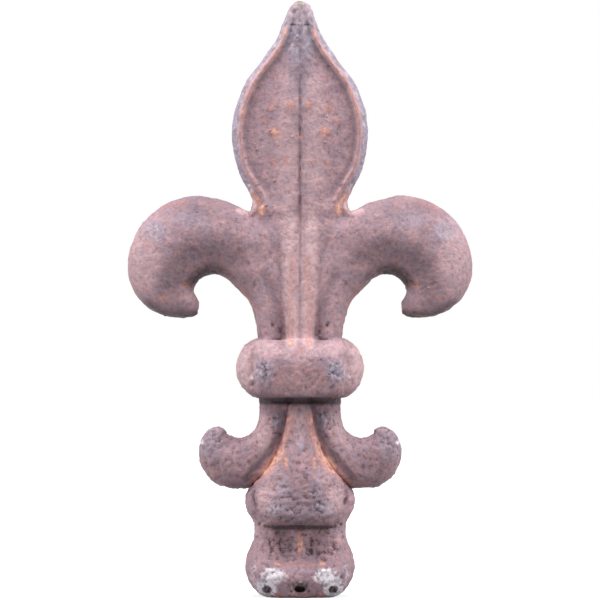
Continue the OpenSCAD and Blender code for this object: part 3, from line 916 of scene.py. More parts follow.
    # Darkening streaks below are painted shade: beside the notch, in the groove beside the midrib, under the
    # petal and in its curl, under its nib, along the leaf's edge and beside the scroll's notch, with painted
    # shadow under the bell's lip and under the collar. The smooth light pink streaks are painted highlight
    # along the midrib and on the notch's lip.
    streaks: tuple[Streak, ...] = (
        Streak(Mark.RUST, ((12.6, 111.0), (11.0, 108.6), (10.4, 107.0)), 0.7, 0.8),
        Streak(Mark.PAINTED_HIGHLIGHT, ((3.0, 104.0), (3.0, 94.0), (2.6, 80.0), (2.4, 70.0)), 1.7, 0.85),
        Streak(Mark.PAINTED_HIGHLIGHT, ((0.0, 102.0), (0.0, 72.0)), 1.7, 0.45),
        Streak(Mark.PAINTED_HIGHLIGHT, ((2.4, 124.0), (2.9, 114.0), (3.0, 104.0)), 1.5, 0.3),
        Streak(Mark.PAINTED_HIGHLIGHT, ((3.6, 142.0), (4.2, 130.0), (3.8, 114.0)), 2.4, 0.34),
        Streak(Mark.RUST, ((2.0, 94.0), (2.4, 88.0), (2.6, 80.0), (2.4, 70.0)), 1.1, 0.34),
        Streak(Mark.DARK, ((9.4, 89.0), (7.6, 84.0), (6.1, 78.0), (5.2, 70.5)), 1.3, 0.35),
        Streak(Mark.DARK, ((17.6, 95.5), (25.7, 96.4), (31.5, 94.0), (35.6, 87.0)), 3.6, 0.52),
        Streak(Mark.DARK, ((18.6, 88.2), (20.8, 90.3), (24.0, 91.2)), 1.0, 0.5),
        Streak(Mark.DARK, ((23.4, 89.4), (25.6, 89.5), (27.6, 88.7), (29.2, 87.2)), 1.1, 1.0),
        Streak(Mark.DARK, ((22.4, 89.6), (25.6, 90.6), (28.6, 88.9), (30.0, 87.0)), 2.2, 0.75),
        Streak(Mark.DARK, ((39.0, 78.6), (36.0, 77.2), (33.2, 76.9), (28.8, 77.4)), 1.15, 1.0),
        Streak(Mark.DARK, ((42.4, 81.2), (39.0, 78.8), (36.0, 77.8), (29.0, 78.2)), 1.3, 0.75),
        Streak(Mark.PAINTED_HIGHLIGHT, NOTCH_LIP, 0.7, 1.0),
        Streak(Mark.DARK, ((11.4, 108.8), (11.3, 107.0), (12.0, 105.9), (13.8, 105.2)), 0.6, 0.22),
        Streak(Mark.RUST, ((16.4, 85.4), (14.8, 83.2), (13.2, 80.4)), 0.45, 0.5),
        Streak(Mark.RUST, ((38.5, 107.2), (34.5, 108.6), (31.5, 109.4)), 0.5, 0.4),
        Streak(Mark.RUST, ((2.6, 50.0), (3.6, 45.0), (6.2, 39.6), (9.6, 35.4), (13.0, 31.8)), 1.1, 0.52),
        Streak(Mark.RUST, ((5.4, 40.2), (7.2, 37.6), (9.2, 35.4)), 1.3, 0.85),
        Streak(Mark.DARK, ((4.9, 51.0), (5.8, 45.2), (8.6, 40.2), (12.0, 36.2), (15.0, 32.8)), 0.95, 0.6),
        Streak(Mark.RUST, ((6.9, 10.0), (5.4, 9.3), (2.8, 9.0), (0.0, 9.5)), 0.5, 0.32),
        Streak(Mark.DARK, ((0.0, 19.8), (3.0, 19.4), (6.0, 19.3), (7.4, 19.4)), 0.7, 1.0),
        Streak(Mark.DARK, ((6.0, 19.3), (8.4, 19.5), (9.8, 19.9)), 0.4, 0.75),
        Streak(Mark.DARK, ((0.0, 20.8), (4.0, 20.6), (7.2, 20.6)), 1.4, 0.55),
        Streak(Mark.DARK, ((0.0, 54.3), (6.0, 54.3), (10.6, 54.2)), 1.15, 1.0),
        Streak(Mark.DARK, ((3.4, 52.8), (7.0, 52.6), (10.8, 53.0)), 2.0, 0.3),
        Streak(Mark.DARK, ((12.5, 29.6), (12.9, 27.6), (12.3, 25.8)), 0.3, 0.8),
        Streak(Mark.PALE, ((12.6, 8.6), (13.0, 5.6), (11.6, 2.6)), 0.9, 0.45),
    )

    # Broad soft painted shade on the bell, its lip, the petals, the scrolls and the curl
    painted_shades: tuple[Spot, ...] = (
        Spot(Mark.DARK, 0.0, 27.0, 8.0, 8.0, 0.38, SOFT),
        Spot(Mark.DARK, 0.0, 21.8, 10.5, 3.0, 0.56, SOFT),
        Spot(Mark.DARK, 28.0, 108.0, 11.0, 4.0, 0.3, SOFT),
        Spot(Mark.DARK, 20.0, 38.5, 8.0, 6.0, 0.08, SOFT),
        Spot(Mark.DARK, 11.0, 97.5, 6.0, 6.0, 0.17, SOFT),
        Spot(Mark.DARK, 0.0, 61.5, 9.0, 4.2, 0.05, SOFT),
        Spot(Mark.DARK, 33.0, 86.0, 5.0, 7.0, 0.3, SOFT),
    )

    def measure(self, x: np.ndarray, y: np.ndarray, z: np.ndarray) -> dict[Mark, np.ndarray]:
        """Strength of each mark at each point of the surface.

        Args:
            x: Positions across, in mm.
            y: Positions from front to back, in mm.
            z: Heights, in mm.

        Returns:
            One array for each mark, from 0 to 1.
        """
        ax = np.abs(x)
        off_edge = ease(0.0, 1.2, np.abs(y))
        marks = {mark: np.zeros(len(x)) for mark in Mark}
        for form in self.spots + self.streaks:
            face = 1.0 if form.mark is Mark.DARK else off_edge
            lay(marks, form.mark, face * form.values(ax, z))
        for shade in self.painted_shades:
            lay(marks, shade.mark, off_edge * shade.values(ax, z))
        self.mark_rim(marks, ax, z, off_edge)

        # Broken painted shade along the vein, and pebbles that stand out more below the collar
        broken = 0.5 + 0.5 * np.sin(z * 1.3) * np.sin(z * 0.43)
        vein = (1 - ease(0.2, 0.9, ax)) * ease(66, 70, z) * broken * mix(0.35, 1.0, ease(98, 114, z))
        lay(marks, Mark.DARK, 0.6 * vein * off_edge)
        lay(marks, Mark.PEBBLE, 0.32 + 0.2 * (1 - ease(56, 70, z)))
        return marks

    def mark_rim(
        self, marks: dict[Mark, np.ndarray], ax: np.ndarray, z: np.ndarray, off_edge: np.ndarray
    ) -> None:
        """Lays rust and painted highlight on the blade's rim, bare metal outside it and painted shade inside
        it.

        Args:
            marks: The marks, which this changes.
            ax: Distances of the points from the middle, in mm.
            z: Heights, in mm.
            off_edge: Share that is 0 on the parting plane and 1 on the faces.
        """
        rim = line_distance(ax, z, self.crest)
        beads = (0.72 + 0.28 * np.sin(z * 1.7) * np.sin(z * 0.61 + 1)) * mix(0.65, 1.0, ease(124, 134, z))
        along = ease(108, 113, z) * (1 - ease(156, 159, z)) * beads * off_edge
        lay(marks, Mark.RUST, along * (1 - ease(0.1, 0.65, rim)))
        # Painted highlight along the rim's crest
        lay(marks, Mark.PAINTED_HIGHLIGHT, 0.75 * along * (1 - ease(0.4, 1.1, rim)))
        blade = ease(110, 116, z)
        outside = ease(0.5, 1.0, rim) * blade * (ax > rim_x(self.crest, z))
        lay(marks, Mark.LILAC, outside)
        # Painted shade just inside the rim
        inside = (1 - ease(1.2, 3.4, rim)) * ease(0.5, 1.1, rim) * blade * (outside == 0)
        lay(marks, Mark.DARK, 0.35 * inside)


# Relief finer than the drawn rows
@dataclass
class Relief:
    """Fine forms pressed into the smoothed cage along its normals, in mm."""

    crest: np.ndarray
    rim_h: float = 0.3
    rim_half_w: float = 0.5
    gutter_depth: float = 0.16
    vein_depth: float = 0.18

    # Line of (x, z) points, half width and depth of each groove. A ridge has a negative depth
    grooves: tuple[tuple[tuple[tuple[float, float], ...], float, float], ...] = (
        (((31.9, 86.0), (30.4, 86.6), (29.4, 87.6)), 0.5, 0.45),
        (((12.5, 30.2), (12.9, 27.6), (12.2, 25.6)), 0.4, 0.45),
        (((12.6, 66.0), (12.9, 62.0), (12.6, 58.0)), 0.7, 0.3),
        (((2.2, 16.4), (2.5, 12.8), (3.6, 11.2)), 1.0, 0.34),
        (((11.4, 109.2), (11.3, 107.0), (12.0, 105.9), (14.2, 105.2)), 0.6, 0.14),
        (NOTCH_LIP, 0.55, -0.25),
        (((0.0, 54.2), (6.0, 54.2), (10.4, 54.0)), 0.8, 0.9),
        (((0.0, 19.8), (3.0, 19.4), (6.0, 19.3), (8.4, 19.5)), 0.7, 0.7),
        (((9.0, 88.0), (7.2, 83.0), (5.6, 77.0), (5.2, 72.5)), 1.5, 0.35),
    )

    # Place x and z, radius and depth of each dent. A blister has a negative depth
    dents: tuple[tuple[float, float, float, float], ...] = (
        (7.6, 75.4, 0.5, 0.5), (5.5, 73.7, 0.55, 0.5), (14.3, 92.2, 0.5, 0.3), (1.9, 158.3, 0.6, 0.3),
        (1.9, 3.8, 0.5, 0.5), (2.4, 2.0, 0.45, 0.4), (0.7, 4.6, 0.4, 0.4), (7.9, 6.9, 0.4, 0.35),
        (6.9, 128.4, 0.9, -0.45), (2.6, 136.0, 1.0, -0.22), (10.0, 131.7, 0.9, -0.2),
        (0.0, 127.0, 0.8, -0.25),
    )

    def offsets(self, x: np.ndarray, y: np.ndarray, z: np.ndarray) -> np.ndarray:
        """Distance that each point moves outward, in mm.

        Args:
            x: Positions across, in mm.
            y: Positions from front to back, in mm.
            z: Heights, in mm.

        Returns:
            Offsets along the normals.
        """
        ax, face = np.abs(x), ease(0.8, 2.0, np.abs(y))
        rim = line_distance(ax, z, self.crest)
        up = ease(106, 112, z) * (1 - ease(155.5, 158, z))
        total = self.rim_h * mound(rim, self.rim_half_w) * up
        total -= self.gutter_depth * mound(rim - 1.3, 0.6) * up * (ax < rim_x(self.crest, z))
        wander = 0.12 * np.sin(z * 0.8) + 0.08 * np.sin(z * 1.9)
        waves = 1 + 0.95 * np.sin(z * 0.73) * np.sin(z * 1.31 + 0.5)
        cut = self.vein_depth * waves * mix(0.5, 1.0, ease(98, 114, z))
        total -= cut * mound(x - wander, 0.36) * ease(69, 72, z) * (1 - ease(157, 161, z))
        for line, half_w, depth in self.grooves:
            total -= depth * mound(line_distance(ax, z, line), half_w)
        for px, pz, radius, depth in self.dents:
            total -= depth * mound(np.hypot(ax - px, z - pz), radius)
        return total * face


# Nodes
def add_node(
    tree: bpy.types.NodeTree, kind: str, inputs: dict[Any, Any] | None = None, **settings: Any
) -> bpy.types.Node:
    """Adds a node with its settings, input values and links.

    Args:
        tree: Node tree that gets the node.
        kind: Blender's name of the node type.
        inputs: Value or output socket for each input, by name or number.
        settings: Properties of the node.

    Returns:
        The new node.
    """
    node = tree.nodes.new(kind)
    for key, value in settings.items():
        setattr(node, key, value)
    for key, value in (inputs or {}).items():
        if isinstance(value, bpy.types.NodeSocket):
            tree.links.new(value, node.inputs[key])
        else:
            node.inputs[key].default_value = value
    return node


def linear(code: str) -> tuple[float, float, float, float]:
    """Linear colour of an sRGB hex code.

    Args:
        code: Six hex digits.

    Returns:
        Red, green, blue and full opacity.
    """
    parts = [int(code[i : i + 2], 16) / 255 for i in (0, 2, 4)]
    r, g, b = (c / 12.92 if c <= 0.04045 else ((c + 0.055) / 1.055) ** 2.4 for c in parts)
    return r, g, b, 1.0


@dataclass(frozen=True)
class Coat:
    """One coat of colour, which lies where mark x (base + gain x noise) passes from low to high."""

    colour: str
    low: float
    high: float
    strength: float = 1.0
    mark: Mark | None = None
    noise: str = "mottle"
    gain: float = 1.0
    base: float = 0.0
    blend: str = "MIX"


@dataclass(frozen=True)
class WeatheredIron:
    """Grey cast iron, sand cast, under the remains of an old coat and a bloom of fine rust.

    The sand leaves a dull pebbled skin. The bloom turns it mauve-brown, edges that are touched
    rust orange and bare faces stay lilac grey. Painted shade darkens the hollows, undercuts,
    pits and downward faces, and painted highlight lightens lit tops, outer sides, the rim and the
    pebbles' tops. The mould's grit of about 0.3 mm is too fine to show at the size of the picture,
    so pebble and grain are drawn three to four times as coarse.
    """

    name: str = "weathered_cast_iron_with_painted_light"
    ground: str = "b18f96"
    roughness: float = 0.72
    patch_mm: float = 9.0
    mottle_mm: float = 2.8
    grain_mm: float = 1.0
    pebble_mm: float = 1.25
    fleck_mm: float = 3.2
    bump_mm: float = 0.3

    coats: tuple[Coat, ...] = (
        Coat("997881", 0.36, 0.64, noise="patch"),
        Coat("cca5aa", 0.45, 0.72, 0.7),
        Coat("a39cae", 0.58, 0.36, 0.3),
        Coat("a7a0b2", 0.0, 1.2, 0.8, Mark.LILAC, gain=4.4, base=-1.2),
        Coat("cac3d2", 0.35, 1.1, 0.8, Mark.LILAC, "pebble", 6.0, -2.8),
        # Painted highlight
        Coat("e3bfc2", 0.0, 1.2, 1.0, Mark.PAINTED_HIGHLIGHT, gain=1.4, base=0.3),
        # Painted highlight on the pebbles' tops and painted shade in the gaps between them
        Coat("cca5b3", 0.1, 1.0, 0.5, Mark.PEBBLE, "pebble", 6.0, -3.1),
        Coat("663f50", 0.1, 1.0, 0.85, Mark.PEBBLE, "pebble", -6.0, 3.1, "MULTIPLY"),
        Coat("5b4650", 0.14, 0.05, 0.32, noise="flecks", blend="MULTIPLY"),
        Coat("c38a83", 0.1, 0.6, 0.9, Mark.RUST, "pebble", 3.2, -0.6),
        Coat("e6b4a2", 0.4, 1.0, 0.95, Mark.RUST, "pebble", 3.6, -0.95),
        Coat("efb48c", 0.95, 1.5, 0.85, Mark.RUST, "pebble", 3.0, -0.4),
        # Painted shade, with near-black painted shadow where it is strongest
        Coat("523a43", 0.0, 1.1, 0.95, Mark.DARK, "pebble", 2.6, -0.3, "MULTIPLY"),
        Coat("2c2327", 0.6, 1.1, 0.9, Mark.DARK, "grain", 1.0, 0.5),
        Coat("eee6ee", 0.25, 1.0, 1.0, Mark.PALE, "grain", 3.6, -0.9),
        Coat("8d8f6a", 0.2, 1.0, 0.8, Mark.MOSS, "grain", 2.0, 0.0),
        Coat("c9c0c4", 0.52, 0.32, 0.55, noise="grain", blend="MULTIPLY"),
        Coat("2e2a2b", 0.5, 0.72, 0.8, noise="grain", blend="SCREEN"),
    )

    def build(self) -> bpy.types.Material:
        """Makes the material.

        Returns:
            The material with its node tree.
        """
        material = bpy.data.materials.new(self.name)
        material.use_nodes = True
        tree = material.node_tree
        tree.nodes.clear()
        place = add_node(tree, "ShaderNodeTexCoord").outputs["Object"]
        values = {}
        for name, size, detail in (
            ("patch", self.patch_mm, 3), ("mottle", self.mottle_mm, 5),
            ("pebble", self.pebble_mm, 3), ("grain", self.grain_mm, 4),
        ):
            inputs = {"Vector": place, "Scale": 1000 / size, "Detail": detail, "Roughness": 0.6}
            values[name] = add_node(tree, "ShaderNodeTexNoise", inputs).outputs["Fac"]
        inputs = {"Vector": place, "Scale": 1000 / self.fleck_mm}
        values["flecks"] = add_node(tree, "ShaderNodeTexVoronoi", inputs).outputs["Distance"]
        marks = {
            kind: add_node(tree, "ShaderNodeAttribute", attribute_name=kind.value).outputs["Fac"]
            for kind in Mark
        }
        tone: Any = linear(self.ground)
        for coat in self.coats:
            inputs = {0: values[coat.noise], 1: coat.gain, 2: coat.base}
            share = add_node(tree, "ShaderNodeMath", inputs, operation="MULTIPLY_ADD").outputs[0]
            if coat.mark:
                share = add_node(
                    tree, "ShaderNodeMath", {0: share, 1: marks[coat.mark]}, operation="MULTIPLY"
                ).outputs[0]
            share = add_node(
                tree, "ShaderNodeMapRange",
                {"Value": share, "From Min": coat.low, "From Max": coat.high, "To Max": coat.strength},
            ).outputs["Result"]
            inputs = {0: share, 6: tone, 7: linear(coat.colour)}
            tone = add_node(tree, "ShaderNodeMix", inputs, data_type="RGBA", blend_type=coat.blend).outputs[2]
        inputs = {0: values["mottle"], 1: 0.6, 2: values["grain"]}
        height = add_node(tree, "ShaderNodeMath", inputs, operation="MULTIPLY_ADD").outputs[0]
        inputs = {"Strength": 1.0, "Distance": self.bump_mm * MM, "Height": height}
        bump = add_node(tree, "ShaderNodeBump", inputs)
        shader = add_node(
            tree, "ShaderNodeBsdfPrincipled",
            {"Base Color": tone, "Roughness": self.roughness, "Metallic": 0.0, "Normal": bump.outputs[0]},
        )
        add_node(tree, "ShaderNodeOutputMaterial", {"Surface": shader.outputs[0]})
        return material


@dataclass(frozen=True)
class CastSkin:
    """Roughness that the sand mould leaves: waves, pebbles, pits and nodules. Sizes in mm."""

    wave_mm: float = 5.0
    wave_depth: float = 0.16
    pebble_mm: float = 1.25
    pebble_depth: float = 0.28
    pit_mm: float = 4.2
    pit_depth: float = 0.28
    nodule_mm: float = 0.42
    nodules_per_cm2: float = 2.2
    seed: int = 11

    def tree(self) -> tuple[bpy.types.NodeTree, dict[str, Any]]:
        """Builds the Geometry Nodes tree.

        Returns:
            The tree, and the value of each named input.
        """
        tree = bpy.data.node_groups.new("cast_skin", "GeometryNodeTree")
        values = {
            "Wave size": self.wave_mm * MM, "Wave depth": self.wave_depth * MM,
            "Pebble size": self.pebble_mm * MM, "Pebble depth": self.pebble_depth * MM,
            "Pit size": self.pit_mm * MM, "Pit depth": self.pit_depth * MM,
            "Nodule size": self.nodule_mm * MM, "Nodule density": self.nodules_per_cm2 * 1e4,
        }
        face = tree.interface
        face.new_socket("Geometry", in_out="INPUT", socket_type="NodeSocketGeometry")
        for name in values:
            face.new_socket(name, in_out="INPUT", socket_type="NodeSocketFloat")
        face.new_socket("Finish", in_out="INPUT", socket_type="NodeSocketMaterial")
        face.new_socket("Geometry", in_out="OUTPUT", socket_type="NodeSocketGeometry")
        given = add_node(tree, "NodeGroupInput").outputs
        place = add_node(tree, "GeometryNodeInputPosition").outputs[0]
        pebbled = add_node(
            tree, "GeometryNodeInputNamedAttribute", {"Name": Mark.PEBBLE.value}, data_type="FLOAT"
        )

        # Each form: its texture, the texture's values at no height and at full height, and its sign
        rise: Any = 0.0
        for form, texture, none, full, sign in (
            ("Wave", "ShaderNodeTexNoise", 0.5, 1.0, 2.0),
            ("Pebble", "ShaderNodeTexNoise", 0.5, 0.66, 1.0),
            ("Pit", "ShaderNodeTexVoronoi", 0.2, 0.06, -1.0),
        ):
            inputs = {0: 1.0, 1: given[f"{form} size"]}
            scale = add_node(tree, "ShaderNodeMath", inputs, operation="DIVIDE").outputs[0]
            height = add_node(
                tree, "ShaderNodeMapRange",
                {
                    "Value": add_node(tree, texture, {"Vector": place, "Scale": scale}).outputs[0],
                    "From Min": none, "From Max": full, "To Max": sign,
                },
                clamp=form == "Pit",
            ).outputs[0]
            if form == "Pebble":
                height = add_node(
                    tree, "ShaderNodeMath", {0: height, 1: pebbled.outputs[0]}, operation="MULTIPLY"
                ).outputs[0]
            inputs = {0: height, 1: given[f"{form} depth"], 2: rise}
            rise = add_node(tree, "ShaderNodeMath", inputs, operation="MULTIPLY_ADD").outputs[0]
        normal = add_node(tree, "GeometryNodeInputNormal").outputs[0]
        inputs = {0: normal, "Scale": rise}
        offset = add_node(tree, "ShaderNodeVectorMath", inputs, operation="SCALE").outputs[0]
        inputs = {"Geometry": given["Geometry"], "Offset": offset}
        rough = add_node(tree, "GeometryNodeSetPosition", inputs).outputs[0]

        # Small nodules of scale, half sunk in the skin
        thick = add_node(
            tree, "ShaderNodeMath", {0: given["Nodule density"], 1: pebbled.outputs[0]}, operation="MULTIPLY"
        ).outputs[0]
        seats = add_node(
            tree, "GeometryNodeDistributePointsOnFaces",
            {"Mesh": rough, "Density": thick, "Seed": self.seed}, distribute_method="RANDOM",
        )
        ball = add_node(tree, "GeometryNodeMeshIcoSphere", {"Radius": 1.0, "Subdivisions": 1}).outputs[0]
        size = add_node(
            tree, "FunctionNodeRandomValue",
            {"Min": 0.55, "Max": 1.35, "Seed": self.seed + 1}, data_type="FLOAT",
        )
        width = add_node(
            tree, "ShaderNodeMath",
            {0: next(s for s in size.outputs if s.enabled), 1: given["Nodule size"]}, operation="MULTIPLY",
        ).outputs[0]
        shape = add_node(
            tree, "ShaderNodeVectorMath", {0: (1.0, 1.0, 0.45), "Scale": width}, operation="SCALE"
        ).outputs[0]
        inputs = {
            "Points": seats.outputs["Points"], "Instance": ball,
            "Rotation": seats.outputs["Rotation"], "Scale": shape,
        }
        nodules = add_node(tree, "GeometryNodeInstanceOnPoints", inputs).outputs[0]
        joined = add_node(tree, "GeometryNodeJoinGeometry")
        tree.links.new(nodules, joined.inputs[0])
        tree.links.new(rough, joined.inputs[0])
        smooth = add_node(tree, "GeometryNodeSetShadeSmooth", {"Geometry": joined.outputs[0]}).outputs[0]
        real = add_node(tree, "GeometryNodeRealizeInstances", {"Geometry": smooth}).outputs[0]
        inputs = {"Geometry": real, "Material": given["Finish"]}
        dressed = add_node(tree, "GeometryNodeSetMaterial", inputs).outputs[0]
        add_node(tree, "NodeGroupOutput", {0: dressed})
        return tree, values


# The casting
@dataclass
class Casting:
    """The whole finial as one cast piece: cage, smooth skin, pits, wear, painted shade and highlight, and
    finish.
    """

    heights: Heights = field(default_factory=Heights)
    blade: Blade = field(default_factory=Blade)
    petal: SidePetal = field(default_factory=SidePetal)
    collar: Collar = field(default_factory=Collar)
    scroll: Scroll = field(default_factory=Scroll)
    bell: LeafAndBell = field(default_factory=LeafAndBell)
    foot: Foot = field(default_factory=Foot)
    skin: CastSkin = field(default_factory=CastSkin)
    finish: WeatheredIron = field(default_factory=WeatheredIron)
    levels: int = 2
    soft_rounds: int = 40

    # Spans along the strips of the cage, and the numbers of the lines that stay crisp
    blade_spans: int = 28
    seam_spans: int = 12
    leaf_spans: int = 9
    bell_spans: int = 11
    foot_spans: int = 12
    crest_i: int = 5
    bevel_i: int = 7
    crease_rows: int = 12
    mouth_row: int = 3
    blind_row: int = 7

    # Place x and z of each pit in the foot's front, and its three half sizes, in mm
    pits: tuple[tuple[float, float, tuple[float, float, float]], ...] = (
        (-9.0, 2.4, (1.42, 2.6, 1.25)), (9.0, 2.4, (1.42, 2.6, 1.25)), (0.0, 2.9, (2.1, 1.8, 1.35)),
    )

    def crest_line(self) -> np.ndarray:
        """Draws the crest of the blade's rim at twice the cage's spans.

        Returns:
            Array of (x, z), from the tip down.
        """
        h, b = self.heights, self.blade
        rows = [b.row(s, h) for s in samples(b.rail(h), 2 * self.blade_spans)]
        return np.array([r[self.crest_i][[0, 2]] for r in rows])

    def cage(self) -> bpy.types.Mesh:
        """Draws all strips of the casting.

        Returns:
            The closed cage of quads.
        """
        h = self.heights
        seam = self.blade.seam(h, self.seam_spans)
        rail = np.concatenate([samples(self.blade.rail(h), self.blade_spans), seam[1:]])
        mid = np.array([self.blade.row(s, h) for s in rail])
        side = self.petal.rows(h, self.blade, seam)
        leaf = self.bell.seam(h, self.leaf_spans)
        bell = samples(self.bell.bell_rail(h, leaf[-1]), self.bell_spans)[1:]
        foot = samples(self.foot.rail(h, self.bell), self.foot_spans)
        low = np.array([self.bell.row(s, h) for s in np.concatenate([leaf, bell, foot])])
        scroll = self.scroll.rows(h, self.bell, leaf)
        ring = self.collar.rows(
            h, np.concatenate([mid[-1], side[-1][1:]]), np.concatenate([low[0], scroll[0][1:]])
        )
        cage = Cage()
        middle = cage.add(mid)
        along_blade = slice(2, self.blade_spans - 1)
        cage.fold(middle, "column", self.crest_i, 0.55, along_blade)
        cage.fold(middle, "column", self.bevel_i, 0.3, along_blade)
        cage.add(side)
        cage.fold(cage.add(ring), "row", self.collar.spans, 0.6)
        body = cage.add(low)
        cage.fold(body, "column", self.crest_i, 0.4, slice(0, self.crease_rows))
        cage.fold(body, "row", self.leaf_spans + self.bell_spans, 0.5)
        cage.add(scroll)
        sole = cage.add(self.foot.socket_rows(low[-1]))
        for row, weight in ((0, 0.7), (self.mouth_row, 0.9), (self.blind_row, 0.8)):
            cage.fold(sole, "row", row, weight)
        return cage.mesh("finial_cage")

    def smooth(self, mesh: bpy.types.Mesh) -> bpy.types.Object:
        """Subdivides the cage so that the skin passes through its points.

        Args:
            mesh: The cage.

        Returns:
            An object that holds the smooth, plain mesh.
        """
        work = bpy.data.objects.new("finial_casting", mesh)
        bpy.context.scene.collection.objects.link(work)
        work.modifiers.new("smooth", "SUBSURF")
        work.modifiers["smooth"].levels = work.modifiers["smooth"].render_levels = self.levels
        target = coordinates(mesh)
        for _ in range(3):
            done = evaluated(work)
            miss = target - coordinates(done)[: len(target)]
            bpy.data.meshes.remove(done)
            mesh.vertices.foreach_set("co", (coordinates(mesh) + 0.9 * miss).astype(np.float32).ravel())
            mesh.update()
        done = evaluated(work)
        work.modifiers.clear()
        work.data = done
        bpy.data.meshes.remove(mesh)
        return work

    def softness(self, x: np.ndarray, z: np.ndarray) -> np.ndarray:
        """Share by which each point follows its neighbours when the skin is softened.

        Args:
            x: Distances of the points from the middle, in mm.
            z: Heights, in mm.

        Returns:
            Shares from 0 to 1.
        """
        h = self.heights
        seam = self.blade.seam(h, 2 * self.seam_spans)[:, [0, 2]]
        leaf = self.bell.seam(h, 2 * self.leaf_spans)[: self.crease_rows, [0, 2]]
        notch = np.hypot(x - self.blade.notch_w / 2 + 0.6, z - h.z_notch)
        panel = x < rim_x(self.crest_line(), z) - 0.4
        return np.max(
            [
                (1 - ease(1.6, 4.6, line_distance(x, z, seam))) * ease(71.5, 74, z),
                1 - ease(1.8, 4.2, notch),
                0.35 * (1 - ease(0.8, 2.4, line_distance(x, z, leaf))) * (z < 54),
                0.7 * ease(154.5, 158.5, z),
                0.4 * ease(136, 150, z) * panel,
            ],
            axis=0,
        )

    def soften(self, work: bpy.types.Object) -> None:
        """Runs the petals softly into each other, rounds the notches and the blade's tip.

        Args:
            work: The smooth casting.
        """
        mesh = work.data
        co = coordinates(mesh)
        weight = self.softness(np.abs(co[:, 0]) / MM, co[:, 2] / MM)
        edges = np.zeros(len(mesh.edges) * 2, np.int32)
        mesh.edges.foreach_get("vertices", edges)
        a, b = edges.reshape(-1, 2).T
        count = np.bincount(a, minlength=len(co)) + np.bincount(b, minlength=len(co))
        for _ in range(self.soft_rounds):
            sums = [np.bincount(a, co[b, k], len(co)) + np.bincount(b, co[a, k], len(co)) for k in range(3)]
            co += 0.6 * weight[:, None] * (np.stack(sums, axis=1) / count[:, None] - co)

        # The softened tip is drawn up again to just below the top of the box
        top = co[:, 2].max() / MM
        lift = ease(150.0, top, co[:, 2] / MM) * (CAD_BOX[1][2] / MM - 0.15 - top)
        co[:, 2] += lift * MM
        mesh.vertices.foreach_set("co", co.astype(np.float32).ravel())
        mesh.update()

    def press(self, work: bpy.types.Object) -> None:
        """Presses the fine relief into the smooth skin.

        Args:
            work: The softened casting.
        """
        mesh = work.data
        co = coordinates(mesh)
        x, y, z = (co / MM).T
        normals = np.zeros(len(co) * 3, np.float32)
        mesh.vertices.foreach_get("normal", normals)
        push = Relief(self.crest_line()).offsets(x, y, z)
        co += normals.reshape(-1, 3) * (push * MM)[:, None]
        mesh.vertices.foreach_set("co", co.astype(np.float32).ravel())
        mesh.update()

    def bore_pits(self, work: bpy.types.Object) -> None:
        """Opens the three small blind pits in the front of the foot.

        Args:
            work: The casting with its relief.
        """
        mesh = work.data
        for number, (px, pz, (rx, ry, rz)) in enumerate(self.pits):
            bm = bmesh.new()
            bmesh.ops.create_icosphere(bm, subdivisions=3, radius=1.0)
            skin_y = surface_front(coordinates(mesh) / MM, px, pz)
            for v in bm.verts:
                n = v.co.normalized()
                ragged = 1 + 0.07 * math.sin(5 * n.x + 3 * n.z + number) + 0.05 * math.sin(9 * n.z - 4 * n.x)
                v.co = Vector((px + n.x * rx * ragged, skin_y + n.y * ry, pz + n.z * rz * ragged)) * MM
            tool = bpy.data.objects.new("pit_tool", bpy.data.meshes.new("pit_tool"))
            bm.to_mesh(tool.data)
            bm.free()
            bpy.context.scene.collection.objects.link(tool)
            cut = work.modifiers.new("pit", "BOOLEAN")
            cut.operation, cut.solver, cut.object = "DIFFERENCE", "EXACT", tool
            work.data = evaluated(work)
            work.modifiers.clear()
            bpy.data.meshes.remove(mesh)
            mesh = work.data
            bpy.data.objects.remove(tool)

    def mark(self, work: bpy.types.Object) -> None:
        """Stores how rusty, limy, bare and pebbled each point is, and its painted shade and painted
        highlight.

        Args:
            work: The casting with its pits.
        """
        mesh = work.data
        x, y, z = (coordinates(mesh) / MM).T
        marks = Wear(self.crest_line()).measure(x, y, z)
        # Painted shade inside each pit, where pale and pebble are taken out
        for px, pz, (rx, _, rz) in self.pits:
            inside = np.hypot((x - px) / rx, (z - pz) / rz)
            hole = (1 - ease(0.85, 1.05, inside)) * (y < 0) * (0.9 if px == 0 else 0.66)
            lay(marks, Mark.DARK, hole)
            marks[Mark.PALE] = marks[Mark.PALE] * (1 - hole)
            marks[Mark.PEBBLE] = marks[Mark.PEBBLE] * (1 - hole)
        normals = np.zeros(len(x) * 3, np.float32)
        mesh.vertices.foreach_get("normal", normals)
        # Painted shade on faces that turn downward, fading out toward the underside
        under = 0.55 * ease(0.25, 0.95, -normals[2::3]) * ease(1.0, 4.0, z)
        lay(marks, Mark.DARK, under)

        # The underside and the socket have no pebbles
        in_socket = ease(7.4, 6.6, np.hypot(x, y)) * (z < self.foot.socket_h + 0.5)
        sole = ease(0.3, 0.0, z) + in_socket
        for kind, values in marks.items():
            if kind is Mark.PEBBLE:
                values = values * (1 - np.clip(sole, 0, 1))
            layer = mesh.attributes.new(kind.value, "FLOAT", "POINT")
            layer.data.foreach_set("value", values.astype(np.float32))

